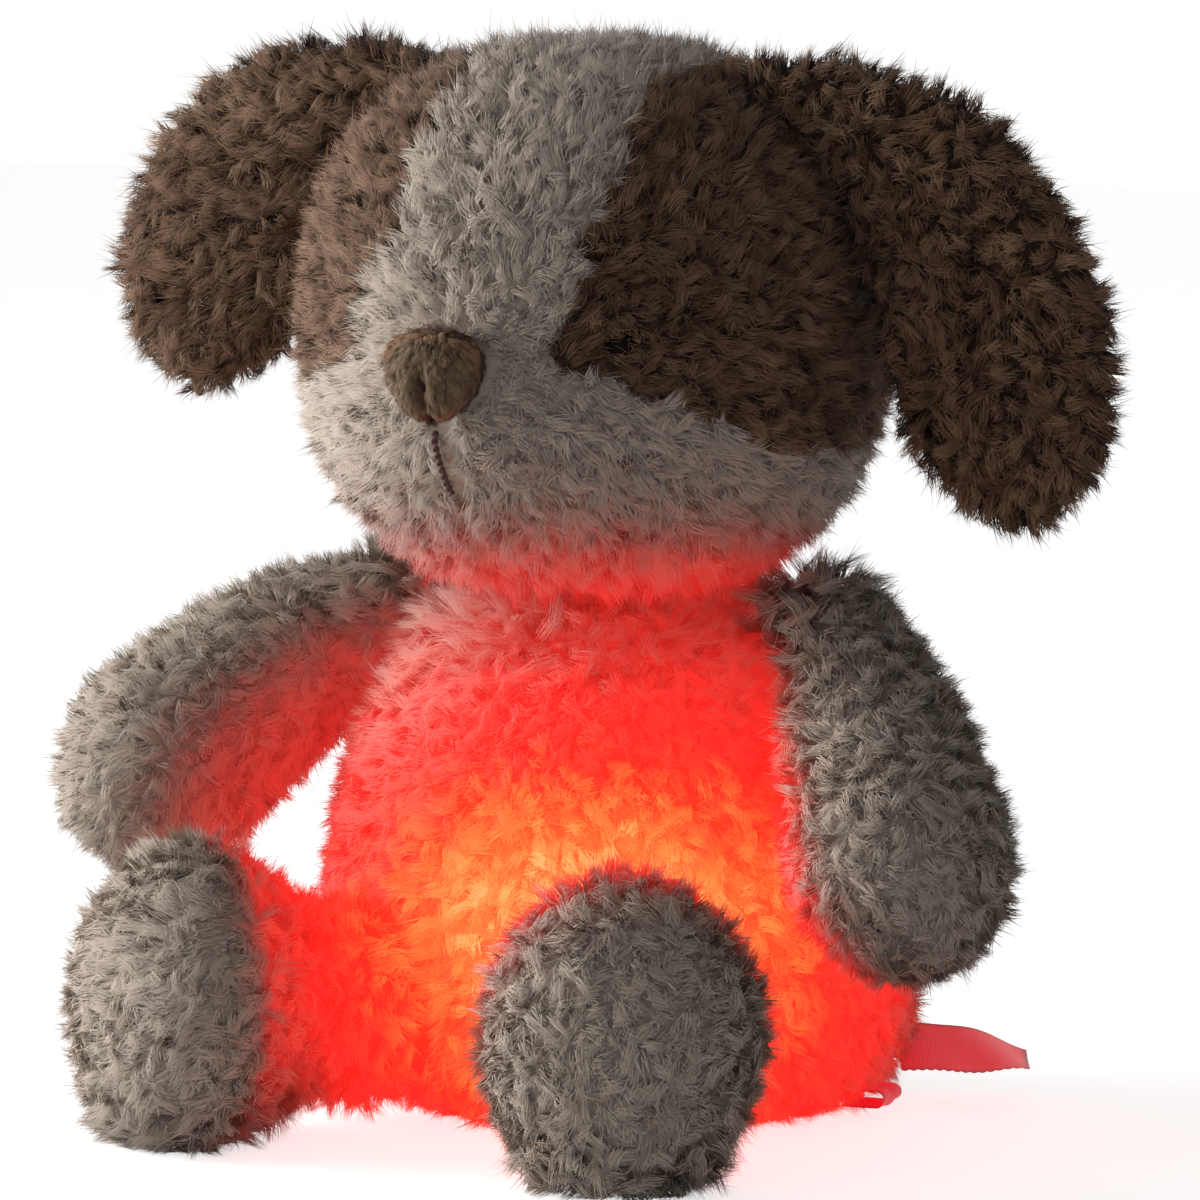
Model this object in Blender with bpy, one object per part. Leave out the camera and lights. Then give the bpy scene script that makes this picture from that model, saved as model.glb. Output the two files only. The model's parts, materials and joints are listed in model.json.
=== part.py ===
"""Seated plush puppy night light: soft body, head, ears and limbs round a light unit in its belly.

The puppy faces -Y and its left side is +X. The floor is z = 0 and the origin is the bottom centre
of the whole object's box. Lengths are in metres.
"""

import math

import bmesh
import bpy
from mathutils import Matrix, Vector

# Clearances and cuts
GAP = 0.0003
OVERRUN = 0.004
POCKET_OVERRUN = 0.016
MERGE_DISTANCE = 0.00001
FLOOR_CUT = 0.0005

# Torso, from the floor to the neck
TORSO_HALF_WIDTH = 0.0655
TORSO_HALF_DEPTH = 0.0600
TORSO_HEIGHT = 0.1120
TORSO_SETBACK = 0.02975
TORSO_LEAN = 0.0060
TORSO_SHARES = (
    (0.0, 0.66), (0.035, 0.83), (0.09, 0.935), (0.18, 0.99), (0.29, 1.0), (0.42, 0.99),
    (0.54, 0.965), (0.65, 0.92), (0.75, 0.86), (0.84, 0.77), (0.92, 0.64), (0.97, 0.50),
)
NECK_BALL_RADIUS = 0.0260
NECK_BALL_DROP = 0.0120

# Head
HEAD_HALF_WIDTH = 0.0640
HEAD_HALF_DEPTH = 0.0580
HEAD_HALF_HEIGHT = 0.0580
HEAD_LIFT = 0.0625
HEAD_FORWARD = 0.0060
HEAD_ROUNDNESS = 2.25
JOWL_ROUNDNESS = 2.8
MUZZLE_RISE = 0.0100
MUZZLE_SPREAD = math.radians(46)
MUZZLE_TILT = math.radians(-18)
NOSE_TILT = math.radians(-5)
MUZZLE_DEPTH_SPREAD = math.radians(32)

# Nose, mouth and eyes
NOSE_HALF_WIDTH = 0.0110
NOSE_HALF_HEIGHT = 0.0090
NOSE_HALF_DEPTH = 0.0058
NOSE_RAISE = 0.0015
NOSE_TAPER_SHARE = 0.42
MOUTH_LENGTH = 0.0120
MOUTH_START_DROP = 0.0027
MOUTH_RAISE = 0.0006
MOUTH_THREAD_RADIUS = 0.0009
EYE_RADIUS = 0.0050
EYE_DOME_HEIGHT = 0.0038
EYE_SHANK_RADIUS = 0.0016
EYE_SHANK_LENGTH = 0.0090
EYE_RAISE = 0.0009
EYE_AZIMUTH = math.radians(33)
EYE_TILT = math.radians(-1.5)

# Ears: a lug in the side of the head, and a long flat pad that hangs from it
EAR_LUG_RADIUS = 0.0110
EAR_THICKNESS = 0.0150
EAR_HALF_WIDTH = 0.0290
LEFT_EAR_REACH = 0.0620
RIGHT_EAR_REACH = 0.0590
LEFT_EAR_DROP = 0.0885
RIGHT_EAR_DROP = 0.0655
LEFT_EAR_RISE = 0.0020
RIGHT_EAR_RISE = 0.0090
EAR_SHOULDER_SHARE = 0.52
EAR_OUT_SHARE = 0.88
EAR_BULGE_SHARE = 1.12
EAR_BULGE_DROP_SHARE = 0.45
EAR_CAP_SHARE = 0.80
EAR_TILT = math.radians(50)
EAR_LUG_SINK = 0.0038
EAR_WIDTH_SHARES = ((0.0, 0.41), (0.18, 0.54), (0.42, 0.84), (0.68, 1.0), (1.0, 0.84))
EAR_THICKNESS_SHARES = ((0.0, 1.0), (0.5, 1.0), (1.0, 0.86))

# Arms
ARM_ROOT_RADIUS = 0.0160
ARM_RADIUS = 0.0212
PAW_RADIUS = 0.0240
LEFT_ARM_REACH = (0.0470, 0.0500, 0.0585)
RIGHT_ARM_REACH = (0.0530, 0.0450, 0.0490)
SHOULDER_HEIGHT = 0.1030
SHOULDER_OUT = 0.0525
SHOULDER_FORWARD = 0.0040
LEFT_ARM_BEND_SHARES = (0.46, 0.33, 0.28)
RIGHT_ARM_BEND_SHARES = (0.56, 0.35, 0.08)
ARM_CLEARANCE = 0.0014
ARM_RAISE = math.radians(40)
ARM_SWEEP_SHARES = (0.60, 1.0)

# Legs
LEG_ROOT_RADIUS = 0.0230
LEG_RADIUS = 0.0270
FOOT_RADIUS = 0.0304
FOOT_TALL_SHARE = 1.15
FOOT_BLUNT_SHARE = 0.75
FOOT_BLUNT_POWER = 2.4
LEG_LENGTH = 0.0640
LEG_RISE_SHARE = 0.25
LEFT_LEG_SPLAY = math.radians(15.5)
RIGHT_LEG_SPLAY = math.radians(22)
HIP_HEIGHT = 0.0275
HIP_AZIMUTH = math.radians(36)
HIP_OUT = 0.0008
PINCH = math.radians(30)

# Light unit: round case, two round keys, battery bay and frosted dome
CASE_RADIUS = 0.0340
CASE_WALL = 0.0020
CASE_DEPTH = 0.0200
PANEL_THICKNESS = 0.0024
UNIT_HEIGHT = 0.0460
UNIT_INSET = 0.0130
UNIT_PROUD = 0.0020
SKIRT_DEPTH = 0.0140
LAMP_LEDGE_DEPTH = 0.0084
DOME_DEPTH = 0.0280
DOME_WALL = 0.0018
LEDGE_WIDTH = 0.0015
LINER_THICKNESS = 0.0008
WELT_RADIUS = 0.0019

# Screw posts of the case
POST_RADIUS = 0.0042
POST_ANGLES = (math.radians(90), math.radians(240), math.radians(300))
POST_RECESS_DEPTH = 0.0120
POST_MOUTH_RADIUS = 0.0036
POST_MOUTH_DEPTH = 0.0006
SCREW_HEAD_RADIUS = 0.0026
SCREW_HEAD_HEIGHT = 0.0016
SCREW_RADIUS = 0.0011
CASE_SCREW_LENGTH = 0.0140
COVER_SCREW_LENGTH = 0.0070

# Lamp board
BOARD_THICKNESS = 0.0016
LED_COUNT = 4
LED_RADIUS = 0.0025
LED_HEIGHT = 0.0035
LED_CIRCLE_RADIUS = 0.0120

# Battery bay, two cells side by side
CELL_RADIUS = 0.00525
CELL_LENGTH = 0.0445
CELL_NUB_RADIUS = 0.0019
CELL_NUB_LENGTH = 0.0009
CELL_PITCH = 0.0115
CELL_COUNT = 2
CONTACT_ROOM = 0.0024
CONTACT_THICKNESS = 0.0005
CONTACT_HALF_WIDTH = 0.0042
CONTACT_BUMP_RADIUS = 0.0026
CONTACT_TIP_RADIUS = 0.0016
BAY_DROP = 0.0050
BAY_WALL = 0.0012
COVER_THICKNESS = 0.0020
COVER_LEDGE = 0.0012
COVER_TAB_RADIUS = 0.0045
CELL_HEADROOM = 0.0006

# Keys and their switches
KEY_RADIUS = 0.0048
KEY_FLANGE = 0.0012
KEY_FLANGE_THICKNESS = 0.0010
KEY_PROUD = 0.0016
KEY_TRAVEL = 0.0010
KEY_SPACING = 0.0240
KEY_RISE = 0.0175
SWITCH_HALF_SIZE = 0.0030
SWITCH_HEIGHT = 0.0032
SWITCH_STEM_RADIUS = 0.0013
SWITCH_STEM_HEIGHT = 0.0006
KEY_BOARD_HALF_WIDTH = 0.0175
KEY_BOARD_HALF_HEIGHT = 0.0048
KEY_RIB_HALF_WIDTH = 0.0018
KEY_RIB_HALF_HEIGHT = 0.0035
LEAD_RADIUS = 0.0008
LEAD_DROP = 0.0100
LEAD_OFFSET = 0.0054

# Sewn-in labels at the left hip seam
LABEL_LENGTH = 0.0280
LABEL_WIDTH = 0.0190
LABEL_THICKNESS = 0.0006
LABEL_HEIGHT = 0.0130
LABEL_TUCK = 0.0040
LABEL_AZIMUTH = math.radians(118)
LABEL_TILT = math.radians(32)
LABEL_SAG = 0.0030
LOOP_LENGTH = 0.0080
LOOP_WIDTH = 0.0120
LOOP_RADIUS = 0.0018
LOOP_HEIGHT = 0.0050
LOOP_TUCK = 0.0040
LOOP_AZIMUTH = math.radians(98)

# How finely the forms are divided
TORSO_SIDES = 28
HEAD_SIDES = 30
HEAD_ROWS = 17
START_SHARE = 0.02
STEP_SHARE = 0.01
LIMB_SIDES = 18
EAR_SIDES = 20
ROUND_SIDES = 32
LUG_SIDES = 20
BALL_SIDES = 16
KEY_SIDES = 20
SMALL_SIDES = 16
WELT_SIDES = 8
CAP_STEPS = 4
BALL_STEPS = 4
PATH_STEPS = 6

TURN = math.tau


def clear_scene():
    for old in list(bpy.data.objects):
        bpy.data.objects.remove(old, do_unlink=True)


def make_material(name, colour, roughness, metallic=0.0, alpha=1.0):
    material = bpy.data.materials.new(name)
    material.use_nodes = True
    shader = material.node_tree.nodes["Principled BSDF"]
    shader.inputs["Base Color"].default_value = (*colour, 1.0)
    shader.inputs["Roughness"].default_value = roughness
    shader.inputs["Metallic"].default_value = metallic
    shader.inputs["Alpha"].default_value = alpha
    material.diffuse_color = (*colour, alpha)
    return material


def make_materials():
    return {
        "cream": make_material("cream_plush", (0.62, 0.56, 0.48), 0.95),
        "brown": make_material("brown_plush", (0.26, 0.16, 0.10), 0.95),
        "nose": make_material("nose_velour", (0.13, 0.09, 0.07), 0.85),
        "thread": make_material("mouth_thread", (0.20, 0.05, 0.03), 0.80),
        "bead": make_material("eye_bead", (0.01, 0.01, 0.01), 0.08),
        "satin": make_material("label_satin", (0.80, 0.78, 0.75), 0.45),
        "tape": make_material("hem_tape", (0.55, 0.48, 0.40), 0.90),
        "mesh": make_material("liner_mesh", (0.75, 0.72, 0.68), 0.90),
        "shell": make_material("shell_plastic", (0.85, 0.84, 0.80), 0.40),
        "dome": make_material("frosted_dome", (0.95, 0.88, 0.78), 0.35, alpha=0.6),
        "key": make_material("key_rubber", (0.90, 0.42, 0.22), 0.60),
        "board": make_material("board_laminate", (0.05, 0.22, 0.10), 0.45),
        "lamp": make_material("lamp_lens", (1.0, 0.55, 0.20), 0.15),
        "steel": make_material("plated_steel", (0.60, 0.60, 0.58), 0.30, metallic=1.0),
        "cell": make_material("cell_sleeve", (0.12, 0.20, 0.32), 0.35),
    }


def finish_mesh(name, bm, material, location=(0.0, 0.0, 0.0)):
    bmesh.ops.recalc_face_normals(bm, faces=bm.faces)
    mesh = bpy.data.meshes.new(name)
    bm.to_mesh(mesh)
    bm.free()
    mesh.shade_smooth()
    mesh.set_sharp_from_angle(angle=math.radians(40))
    if material:
        mesh.materials.append(material)
    made = bpy.data.objects.new(name, mesh)
    made.location = location
    bpy.context.scene.collection.objects.link(made)
    return made


def loft(name, rings, start, end, material=None, location=(0.0, 0.0, 0.0)):
    """A closed skin over rings of points, drawn to a pole at each end, or flat where the pole is None."""
    bm = bmesh.new()
    loops = []
    for points in rings:
        verts = [bm.verts.new(point) for point in points]
        edges = [bm.edges.new((verts[i - 1], verts[i])) for i in range(len(verts))]
        loops.append((verts, edges))
    for (_, low), (_, high) in zip(loops, loops[1:]):
        bmesh.ops.bridge_loops(bm, edges=low + high)
    for (verts, _), pole in ((loops[0], start), (loops[-1], end)):
        if pole is None:
            bm.faces.new(verts)
            continue
        tip = bm.verts.new(pole)
        for i in range(len(verts)):
            bm.faces.new((verts[i - 1], verts[i], tip))
    return finish_mesh(name, bm, material, location)


def turned(name, profile, material=None, location=(0.0, 0.0, 0.0), sides=ROUND_SIDES):
    """A solid turned about the local Y axis from (radius, y) points; a radius of 0 closes on the axis."""
    bm = bmesh.new()
    verts = [bm.verts.new((radius, y, 0.0)) for radius, y in profile]
    edges = [bm.edges.new(pair) for pair in zip(verts, verts[1:])]
    if profile[0][0] > 0.0 and profile[-1][0] > 0.0:
        edges.append(bm.edges.new((verts[-1], verts[0])))
    bmesh.ops.spin(bm, geom=verts + edges, axis=(0.0, 1.0, 0.0), cent=(0.0, 0.0, 0.0),
                   angle=TURN, steps=sides, use_merge=True)
    bmesh.ops.remove_doubles(bm, verts=bm.verts, dist=MERGE_DISTANCE)
    on_axis = [edge for edge in bm.edges if not edge.link_faces]
    bmesh.ops.delete(bm, geom=on_axis, context="EDGES")
    return finish_mesh(name, bm, material, location)


def block(name, half_x, half_y, half_z, material=None, location=(0.0, 0.0, 0.0)):
    bm = bmesh.new()
    bmesh.ops.create_cube(bm, size=2.0, matrix=Matrix.Diagonal((half_x, half_y, half_z, 1.0)))
    return finish_mesh(name, bm, material, location)


def socket_radius(radius, sides=BALL_SIDES):
    """The radius of a faceted socket whose flats clear a ball that turns in it."""
    return (radius + GAP) / math.cos(math.pi / sides) ** 2


def ball(name, radius, location, sides=ROUND_SIDES):
    bm = bmesh.new()
    bmesh.ops.create_uvsphere(bm, u_segments=sides, v_segments=sides // 2, radius=radius)
    return finish_mesh(name, bm, None, location)


def rod(name, radius, low, high, material=None, location=(0.0, 0.0, 0.0), sides=ROUND_SIDES):
    """A round bar along Y from low to high."""
    return turned(name, ((0.0, low), (radius, low), (radius, high), (0.0, high)), material, location, sides)


def boolean(target, tool, operation, solver):
    step = target.modifiers.new(operation.lower() + "_" + tool.name, "BOOLEAN")
    step.operation = operation
    step.solver = solver
    step.object = tool
    tool.hide_render = True
    tool.display_type = "WIRE"
    return target


def cut(target, tool, solver="EXACT"):
    return boolean(target, tool, "DIFFERENCE", solver)


def join(target, tool, solver="EXACT"):
    return boolean(target, tool, "UNION", solver)


def carry(child, parent):
    """Hang a piece on its carrier, with its world place kept."""
    spot = child.location.copy()
    above = parent
    while above is not None:
        spot -= above.location
        above = above.parent
    child.parent = parent
    child.location = spot
    return child


def blend_shares(table, at):
    """The value of a table of (place, value) shares, eased between its rows."""
    for (low, first), (high, second) in zip(table, table[1:]):
        if at <= high:
            along = max(0.0, (at - low) / (high - low))
            eased = along * along * (3 - 2 * along)
            return first + (second - first) * eased
    return table[-1][1]


def curve_point(points, at):
    """A point of the Bezier curve through the first and last of its control points."""
    level = [Vector(point) for point in points]
    while len(level) > 1:
        level = [a.lerp(b, at) for a, b in zip(level, level[1:])]
    return level[0]


def curve_length(points, steps=32):
    marks = [curve_point(points, i / steps) for i in range(steps + 1)]
    return sum((b - a).length for a, b in zip(marks, marks[1:]))


def section(centre, along, across, half_across, half_upright, sides):
    """An oval ring round a centre, square to its path."""
    upright = along.cross(across).normalized()
    side = upright.cross(along).normalized()
    ring = []
    for i in range(sides):
        turn = TURN * i / sides
        level = side * (half_across * math.cos(turn))
        rise = upright * (half_upright * math.sin(turn))
        ring.append(centre + level + rise)
    return ring


def limb(name, points, root, pinch, middle, end, tall_share, blunt_share, blunt_power, material, location):
    """A stuffed limb: a ball at its root, drawn in at the seam, then swelling to a blunt end."""
    length = curve_length(points)
    flat = Vector((0.0, 0.0, 1.0))
    first = (curve_point(points, START_SHARE) - curve_point(points, 0.0)).normalized()
    across = first.cross(flat).normalized()
    rings = []
    for i in range(1, BALL_STEPS + 1):
        angle = -math.pi / 2 + (math.pi / 2 + pinch) * i / BALL_STEPS
        radius = root * math.cos(angle)
        rings.append(section(first * (root * math.sin(angle)), first, across, radius, radius, LIMB_SIDES))
    seam = root * math.sin(pinch) / length
    cap = end * blunt_share / length
    profile = ((seam, root * math.cos(pinch)), (seam + (1 - seam) * 0.5, middle), (1 - cap, end), (1.0, end))
    stops = [seam + (1 - cap - seam) * i / PATH_STEPS for i in range(1, PATH_STEPS + 1)]
    stops += [1 - cap + cap * math.sin(math.pi / 2 * i / CAP_STEPS) for i in range(1, CAP_STEPS)]
    step = 1e-3
    for at in stops:
        along = (curve_point(points, min(at + step, 1.0)) - curve_point(points, at - step)).normalized()
        radius = blend_shares(profile, at)
        if at > 1 - cap:
            radius *= (1 - ((at - 1 + cap) / cap) ** blunt_power) ** (1 / blunt_power)
        tall = 1 + (tall_share - 1) * min(1.0, at / (1 - cap))
        centre = curve_point(points, at)
        rings.append(section(centre, along, across, radius, radius * tall, LIMB_SIDES))
    return loft(name, rings, first * -root, curve_point(points, 1.0), material, location)


# Places that several pieces share

torso_axis = Vector((0.0, TORSO_SETBACK, 0.0))
neck_pivot = torso_axis + Vector((0.0, -TORSO_LEAN, TORSO_HEIGHT - NECK_BALL_DROP))
head_centre = neck_pivot + Vector((0.0, -HEAD_FORWARD, NECK_BALL_DROP + HEAD_LIFT))
unit_back = torso_axis + Vector((0.0, TORSO_HALF_DEPTH - UNIT_INSET + UNIT_PROUD, UNIT_HEIGHT))
shelf = TORSO_HALF_DEPTH - UNIT_INSET
pocket_radius = CASE_RADIUS + GAP + LINER_THICKNESS + GAP
welt_circle = pocket_radius + WELT_RADIUS


def torso_girth(height_share):
    return blend_shares(TORSO_SHARES, height_share)


def torso_surface(azimuth, height, out=0.0):
    """A point on the torso's skin: azimuth 0 is the front, and positive goes to the puppy's left."""
    share = height / TORSO_HEIGHT
    girth = torso_girth(share)
    x = (TORSO_HALF_WIDTH * girth + out) * math.sin(azimuth)
    y = -(TORSO_HALF_DEPTH * girth + out) * math.cos(azimuth) - TORSO_LEAN * share * share
    return torso_axis + Vector((x, y, height))


def head_offset(azimuth, tilt, grow=0.0):
    """A point of the head's skin from its centre, with the muzzle's swelling at the front."""
    roundness = HEAD_ROUNDNESS if tilt > 0 else JOWL_ROUNDNESS
    level = abs(math.cos(tilt)) ** (2 / roundness)
    rise = math.copysign(abs(math.sin(tilt)) ** (2 / roundness), math.sin(tilt))
    turn = (azimuth + math.pi) % TURN - math.pi
    swell = math.exp(-((turn / MUZZLE_SPREAD) ** 2) - ((tilt - MUZZLE_TILT) / MUZZLE_DEPTH_SPREAD) ** 2)
    width = HEAD_HALF_WIDTH + grow
    depth = HEAD_HALF_DEPTH + grow + MUZZLE_RISE * swell
    height = HEAD_HALF_HEIGHT + grow
    return Vector((width * level * math.sin(azimuth), -depth * level * math.cos(azimuth), height * rise))


def head_normal(azimuth, tilt):
    step = math.radians(1)
    side = head_offset(azimuth + step, tilt) - head_offset(azimuth - step, tilt)
    rise = head_offset(azimuth, tilt + step) - head_offset(azimuth, tilt - step)
    return side.cross(rise).normalized()


def turn_towards(made, direction):
    """Point a piece's local -Y along a direction, with its local Z kept upright."""
    forward = -direction.normalized()
    across = forward.cross(Vector((0.0, 0.0, 1.0))).normalized()
    upright = across.cross(forward).normalized()
    made.rotation_euler = Matrix((across, forward, upright)).transposed().to_euler()
    return made


def head_form(name, material, grow=0.0):
    rows = [math.pi * i / HEAD_ROWS - math.pi / 2 for i in range(1, HEAD_ROWS)]
    rings = [[head_offset(TURN * i / HEAD_SIDES, tilt, grow) for i in range(HEAD_SIDES)] for tilt in rows]
    foot = head_offset(0.0, -math.pi / 2, grow)
    crown = head_offset(0.0, math.pi / 2, grow)
    return loft(name, rings, foot, crown, material, head_centre)


def torso_form(name, material, grow=0.0):
    rings = []
    for share, girth in TORSO_SHARES:
        lean = Vector((0.0, -TORSO_LEAN * share * share, TORSO_HEIGHT * share))
        half_width = TORSO_HALF_WIDTH * girth + grow
        half_depth = TORSO_HALF_DEPTH * girth + grow
        rings.append([lean + Vector((half_width * math.sin(TURN * i / TORSO_SIDES),
                                     -half_depth * math.cos(TURN * i / TORSO_SIDES), 0.0))
                      for i in range(TORSO_SIDES)])
    widest = math.acos(NECK_BALL_DROP / NECK_BALL_RADIUS)
    centre = neck_pivot - torso_axis
    for i in range(BALL_STEPS):
        polar = widest * (1 - i / BALL_STEPS)
        radius = (NECK_BALL_RADIUS + grow) * math.sin(polar)
        height = (NECK_BALL_RADIUS + grow) * math.cos(polar)
        rings.append([centre + Vector((radius * math.sin(TURN * k / TORSO_SIDES),
                                       -radius * math.cos(TURN * k / TORSO_SIDES), height))
                      for k in range(TORSO_SIDES)])
    top = centre + Vector((0.0, 0.0, NECK_BALL_RADIUS + grow))
    return loft(name, rings, None, top, material, torso_axis)


def unit_profile(radius, dome_radius, front, dome):
    """The outline of the light unit's space: a straight barrel that ends in a dome, as (radius, y)."""
    steps = 8
    outline = [(radius, -front)]
    for i in range(1, steps):
        turn = math.pi / 2 * i / steps
        outline.append((dome_radius * math.cos(turn), -front - dome * math.sin(turn)))
    return outline + [(0.0, -front - dome)]


def make_pocket(torso, paint):
    """The pocket in the torso's back, its cloth liner and the welt round its mouth."""
    front = CASE_DEPTH + GAP + SKIRT_DEPTH
    mouth = -UNIT_PROUD
    inner = CASE_RADIUS + GAP
    outer = inner + LINER_THICKNESS
    hollow = [(0.0, POCKET_OVERRUN), (pocket_radius, POCKET_OVERRUN)]
    hollow += unit_profile(pocket_radius, pocket_radius, front, DOME_DEPTH + 2 * GAP + LINER_THICKNESS)
    cut(torso, turned("pocket_cutter", hollow, None, unit_back))
    shelf_radius = welt_circle + WELT_RADIUS + GAP
    shelf_cutter = rod("shelf_cutter", shelf_radius, 0.0, UNIT_INSET + POCKET_OVERRUN, None,
                       torso_axis + Vector((0.0, shelf, UNIT_HEIGHT)))
    cut(torso, shelf_cutter)
    skin = [(inner, mouth)] + unit_profile(inner, inner, front, DOME_DEPTH + GAP)
    back = [(outer, mouth)] + unit_profile(outer, outer, front, DOME_DEPTH + GAP + LINER_THICKNESS)
    liner = turned("pocket_liner", back[::-1] + skin, paint["mesh"], unit_back)
    ring = [(welt_circle + WELT_RADIUS * math.cos(TURN * i / WELT_SIDES),
             WELT_RADIUS * math.sin(TURN * i / WELT_SIDES)) for i in range(WELT_SIDES)]
    welt = turned("pocket_welt", ring, paint["tape"],
                  torso_axis + Vector((0.0, shelf + GAP + WELT_RADIUS, UNIT_HEIGHT)))
    return liner, welt


def make_head(torso, paint):
    head = head_form("head", paint["cream"])
    cut(head, ball("neck_socket", NECK_BALL_RADIUS + GAP, neck_pivot, TORSO_SIDES))
    shift = head.location - neck_pivot
    head.data.transform(Matrix.Translation(shift))
    head.location = neck_pivot
    return head


def nose_half_width(height):
    """The nose narrows from its top edge to its tip."""
    return NOSE_HALF_WIDTH * (1 - NOSE_TAPER_SHARE * (0.5 - height * 0.5))


def make_nose(paint):
    tilt = NOSE_TILT
    normal = head_normal(0.0, tilt)
    spot = head_centre + head_offset(0.0, tilt) + normal * NOSE_RAISE
    rings = []
    rows = 8
    for i in range(1, rows):
        angle = math.pi * i / rows - math.pi / 2
        level = math.cos(angle)
        height = math.sin(angle)
        half = nose_half_width(height) * level ** 0.8
        rings.append([Vector((half * math.cos(TURN * k / LIMB_SIDES),
                              NOSE_HALF_DEPTH * level * math.sin(TURN * k / LIMB_SIDES),
                              NOSE_HALF_HEIGHT * height)) for k in range(LIMB_SIDES)])
    nose = loft("nose", rings, Vector((0.0, 0.0, -NOSE_HALF_HEIGHT)), Vector((0.0, 0.0, NOSE_HALF_HEIGHT)),
                paint["nose"], spot)
    turn_towards(nose, normal)
    cut(nose, head_form("nose_seat", None, GAP))
    return nose


def make_mouth(paint):
    """A stitched line from the nose's tip down the muzzle."""
    curve = bpy.data.curves.new("mouth_stitch", "CURVE")
    curve.dimensions = "3D"
    curve.bevel_depth = MOUTH_THREAD_RADIUS
    curve.bevel_resolution = 1
    curve.use_fill_caps = True
    line = curve.splines.new("POLY")
    steps = 6
    line.points.add(steps)
    start = NOSE_TILT - (NOSE_HALF_HEIGHT + MOUTH_START_DROP) / HEAD_HALF_HEIGHT
    for i in range(steps + 1):
        tilt = start - MOUTH_LENGTH / HEAD_HALF_HEIGHT * i / steps
        out = head_normal(0.0, tilt) * (MOUTH_THREAD_RADIUS + MOUTH_RAISE)
        line.points[i].co = (*(head_offset(0.0, tilt) + out), 1.0)
    curve.materials.append(paint["thread"])
    made = bpy.data.objects.new("mouth_stitch", curve)
    made.location = head_centre
    bpy.context.scene.collection.objects.link(made)
    return made


def make_eye(head, name, side, paint):
    """A bead with a shank that is pushed through the head's cloth."""
    azimuth = side * EYE_AZIMUTH
    normal = head_normal(azimuth, EYE_TILT)
    spot = head_centre + head_offset(azimuth, EYE_TILT) + normal * EYE_RAISE
    steps = 5
    turns = [math.pi / 2 * i / steps for i in range(steps)]
    dome = [(EYE_RADIUS * math.cos(turn), -EYE_DOME_HEIGHT * math.sin(turn)) for turn in turns]
    dome.append((0.0, -EYE_DOME_HEIGHT))
    shank = [(0.0, EYE_SHANK_LENGTH), (EYE_SHANK_RADIUS, EYE_SHANK_LENGTH), (EYE_SHANK_RADIUS, 0.0)]
    eye = turned(name, shank + dome, paint["bead"], spot, SMALL_SIDES)
    hole = rod(name + "_hole", EYE_SHANK_RADIUS + GAP, -OVERRUN, EYE_SHANK_LENGTH + GAP, None, spot,
               SMALL_SIDES)
    turn_towards(eye, normal)
    turn_towards(hole, normal)
    cut(head, hole)
    return eye


def ear_pivot(side):
    """The lug's centre, a little inside the head's skin on its upper side."""
    spot = head_centre + head_offset(side * math.pi / 2, EAR_TILT)
    inward = (head_centre - spot).normalized()
    return spot + inward * EAR_LUG_SINK


def make_ear(head, name, side, paint):
    pivot = ear_pivot(side)
    half = EAR_THICKNESS / 2
    drop = LEFT_EAR_DROP if side > 0 else RIGHT_EAR_DROP
    reach = LEFT_EAR_REACH if side > 0 else RIGHT_EAR_REACH
    rise = LEFT_EAR_RISE if side > 0 else RIGHT_EAR_RISE
    points = ((0.0, 0.0, 0.0),
              (side * reach * EAR_SHOULDER_SHARE, 0.0, rise),
              (side * reach * EAR_BULGE_SHARE, 0.0, -drop * EAR_BULGE_DROP_SHARE),
              (side * reach * EAR_OUT_SHARE, 0.0, -drop))
    along = (curve_point(points, START_SHARE) - curve_point(points, 0.0)).normalized()
    front = Vector((0.0, -1.0, 0.0))
    rings = []
    for i in range(1, BALL_STEPS + 1):
        angle = -math.pi / 2 + math.pi / 2 * i / BALL_STEPS
        rings.append(section(along * (EAR_LUG_RADIUS * math.sin(angle)), along, front,
                             half * math.cos(angle) ** 0.5, EAR_LUG_RADIUS * math.cos(angle), EAR_SIDES))
    cap = EAR_HALF_WIDTH * EAR_CAP_SHARE / curve_length(points)
    stops = [(1 - cap) * i / PATH_STEPS for i in range(1, PATH_STEPS + 1)]
    stops += [1 - cap + cap * math.sin(math.pi / 2 * i / CAP_STEPS) for i in range(1, CAP_STEPS)]
    for at in stops:
        path = (curve_point(points, at + STEP_SHARE) - curve_point(points, at - STEP_SHARE)).normalized()
        width = EAR_HALF_WIDTH * blend_shares(EAR_WIDTH_SHARES, at)
        thick = half * blend_shares(EAR_THICKNESS_SHARES, at)
        if at > 1 - cap:
            close = (1 - ((at - 1 + cap) / cap) ** 2) ** 0.5
            width *= close
            thick *= close ** 0.7
        rings.append(section(curve_point(points, at), path, front, thick, width, EAR_SIDES))
    ear = loft(name, rings, along * -EAR_LUG_RADIUS, curve_point(points, 1.0), paint["brown"], pivot)
    cut(ear, head_form(name + "_seat", None, GAP))
    join(ear, rod(name + "_lug", EAR_LUG_RADIUS, -half, half, None, pivot, LUG_SIDES))
    cut(head, rod(name + "_hole", EAR_LUG_RADIUS + GAP, -half - GAP, half + GAP, None, pivot, LUG_SIDES))
    return ear


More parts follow.
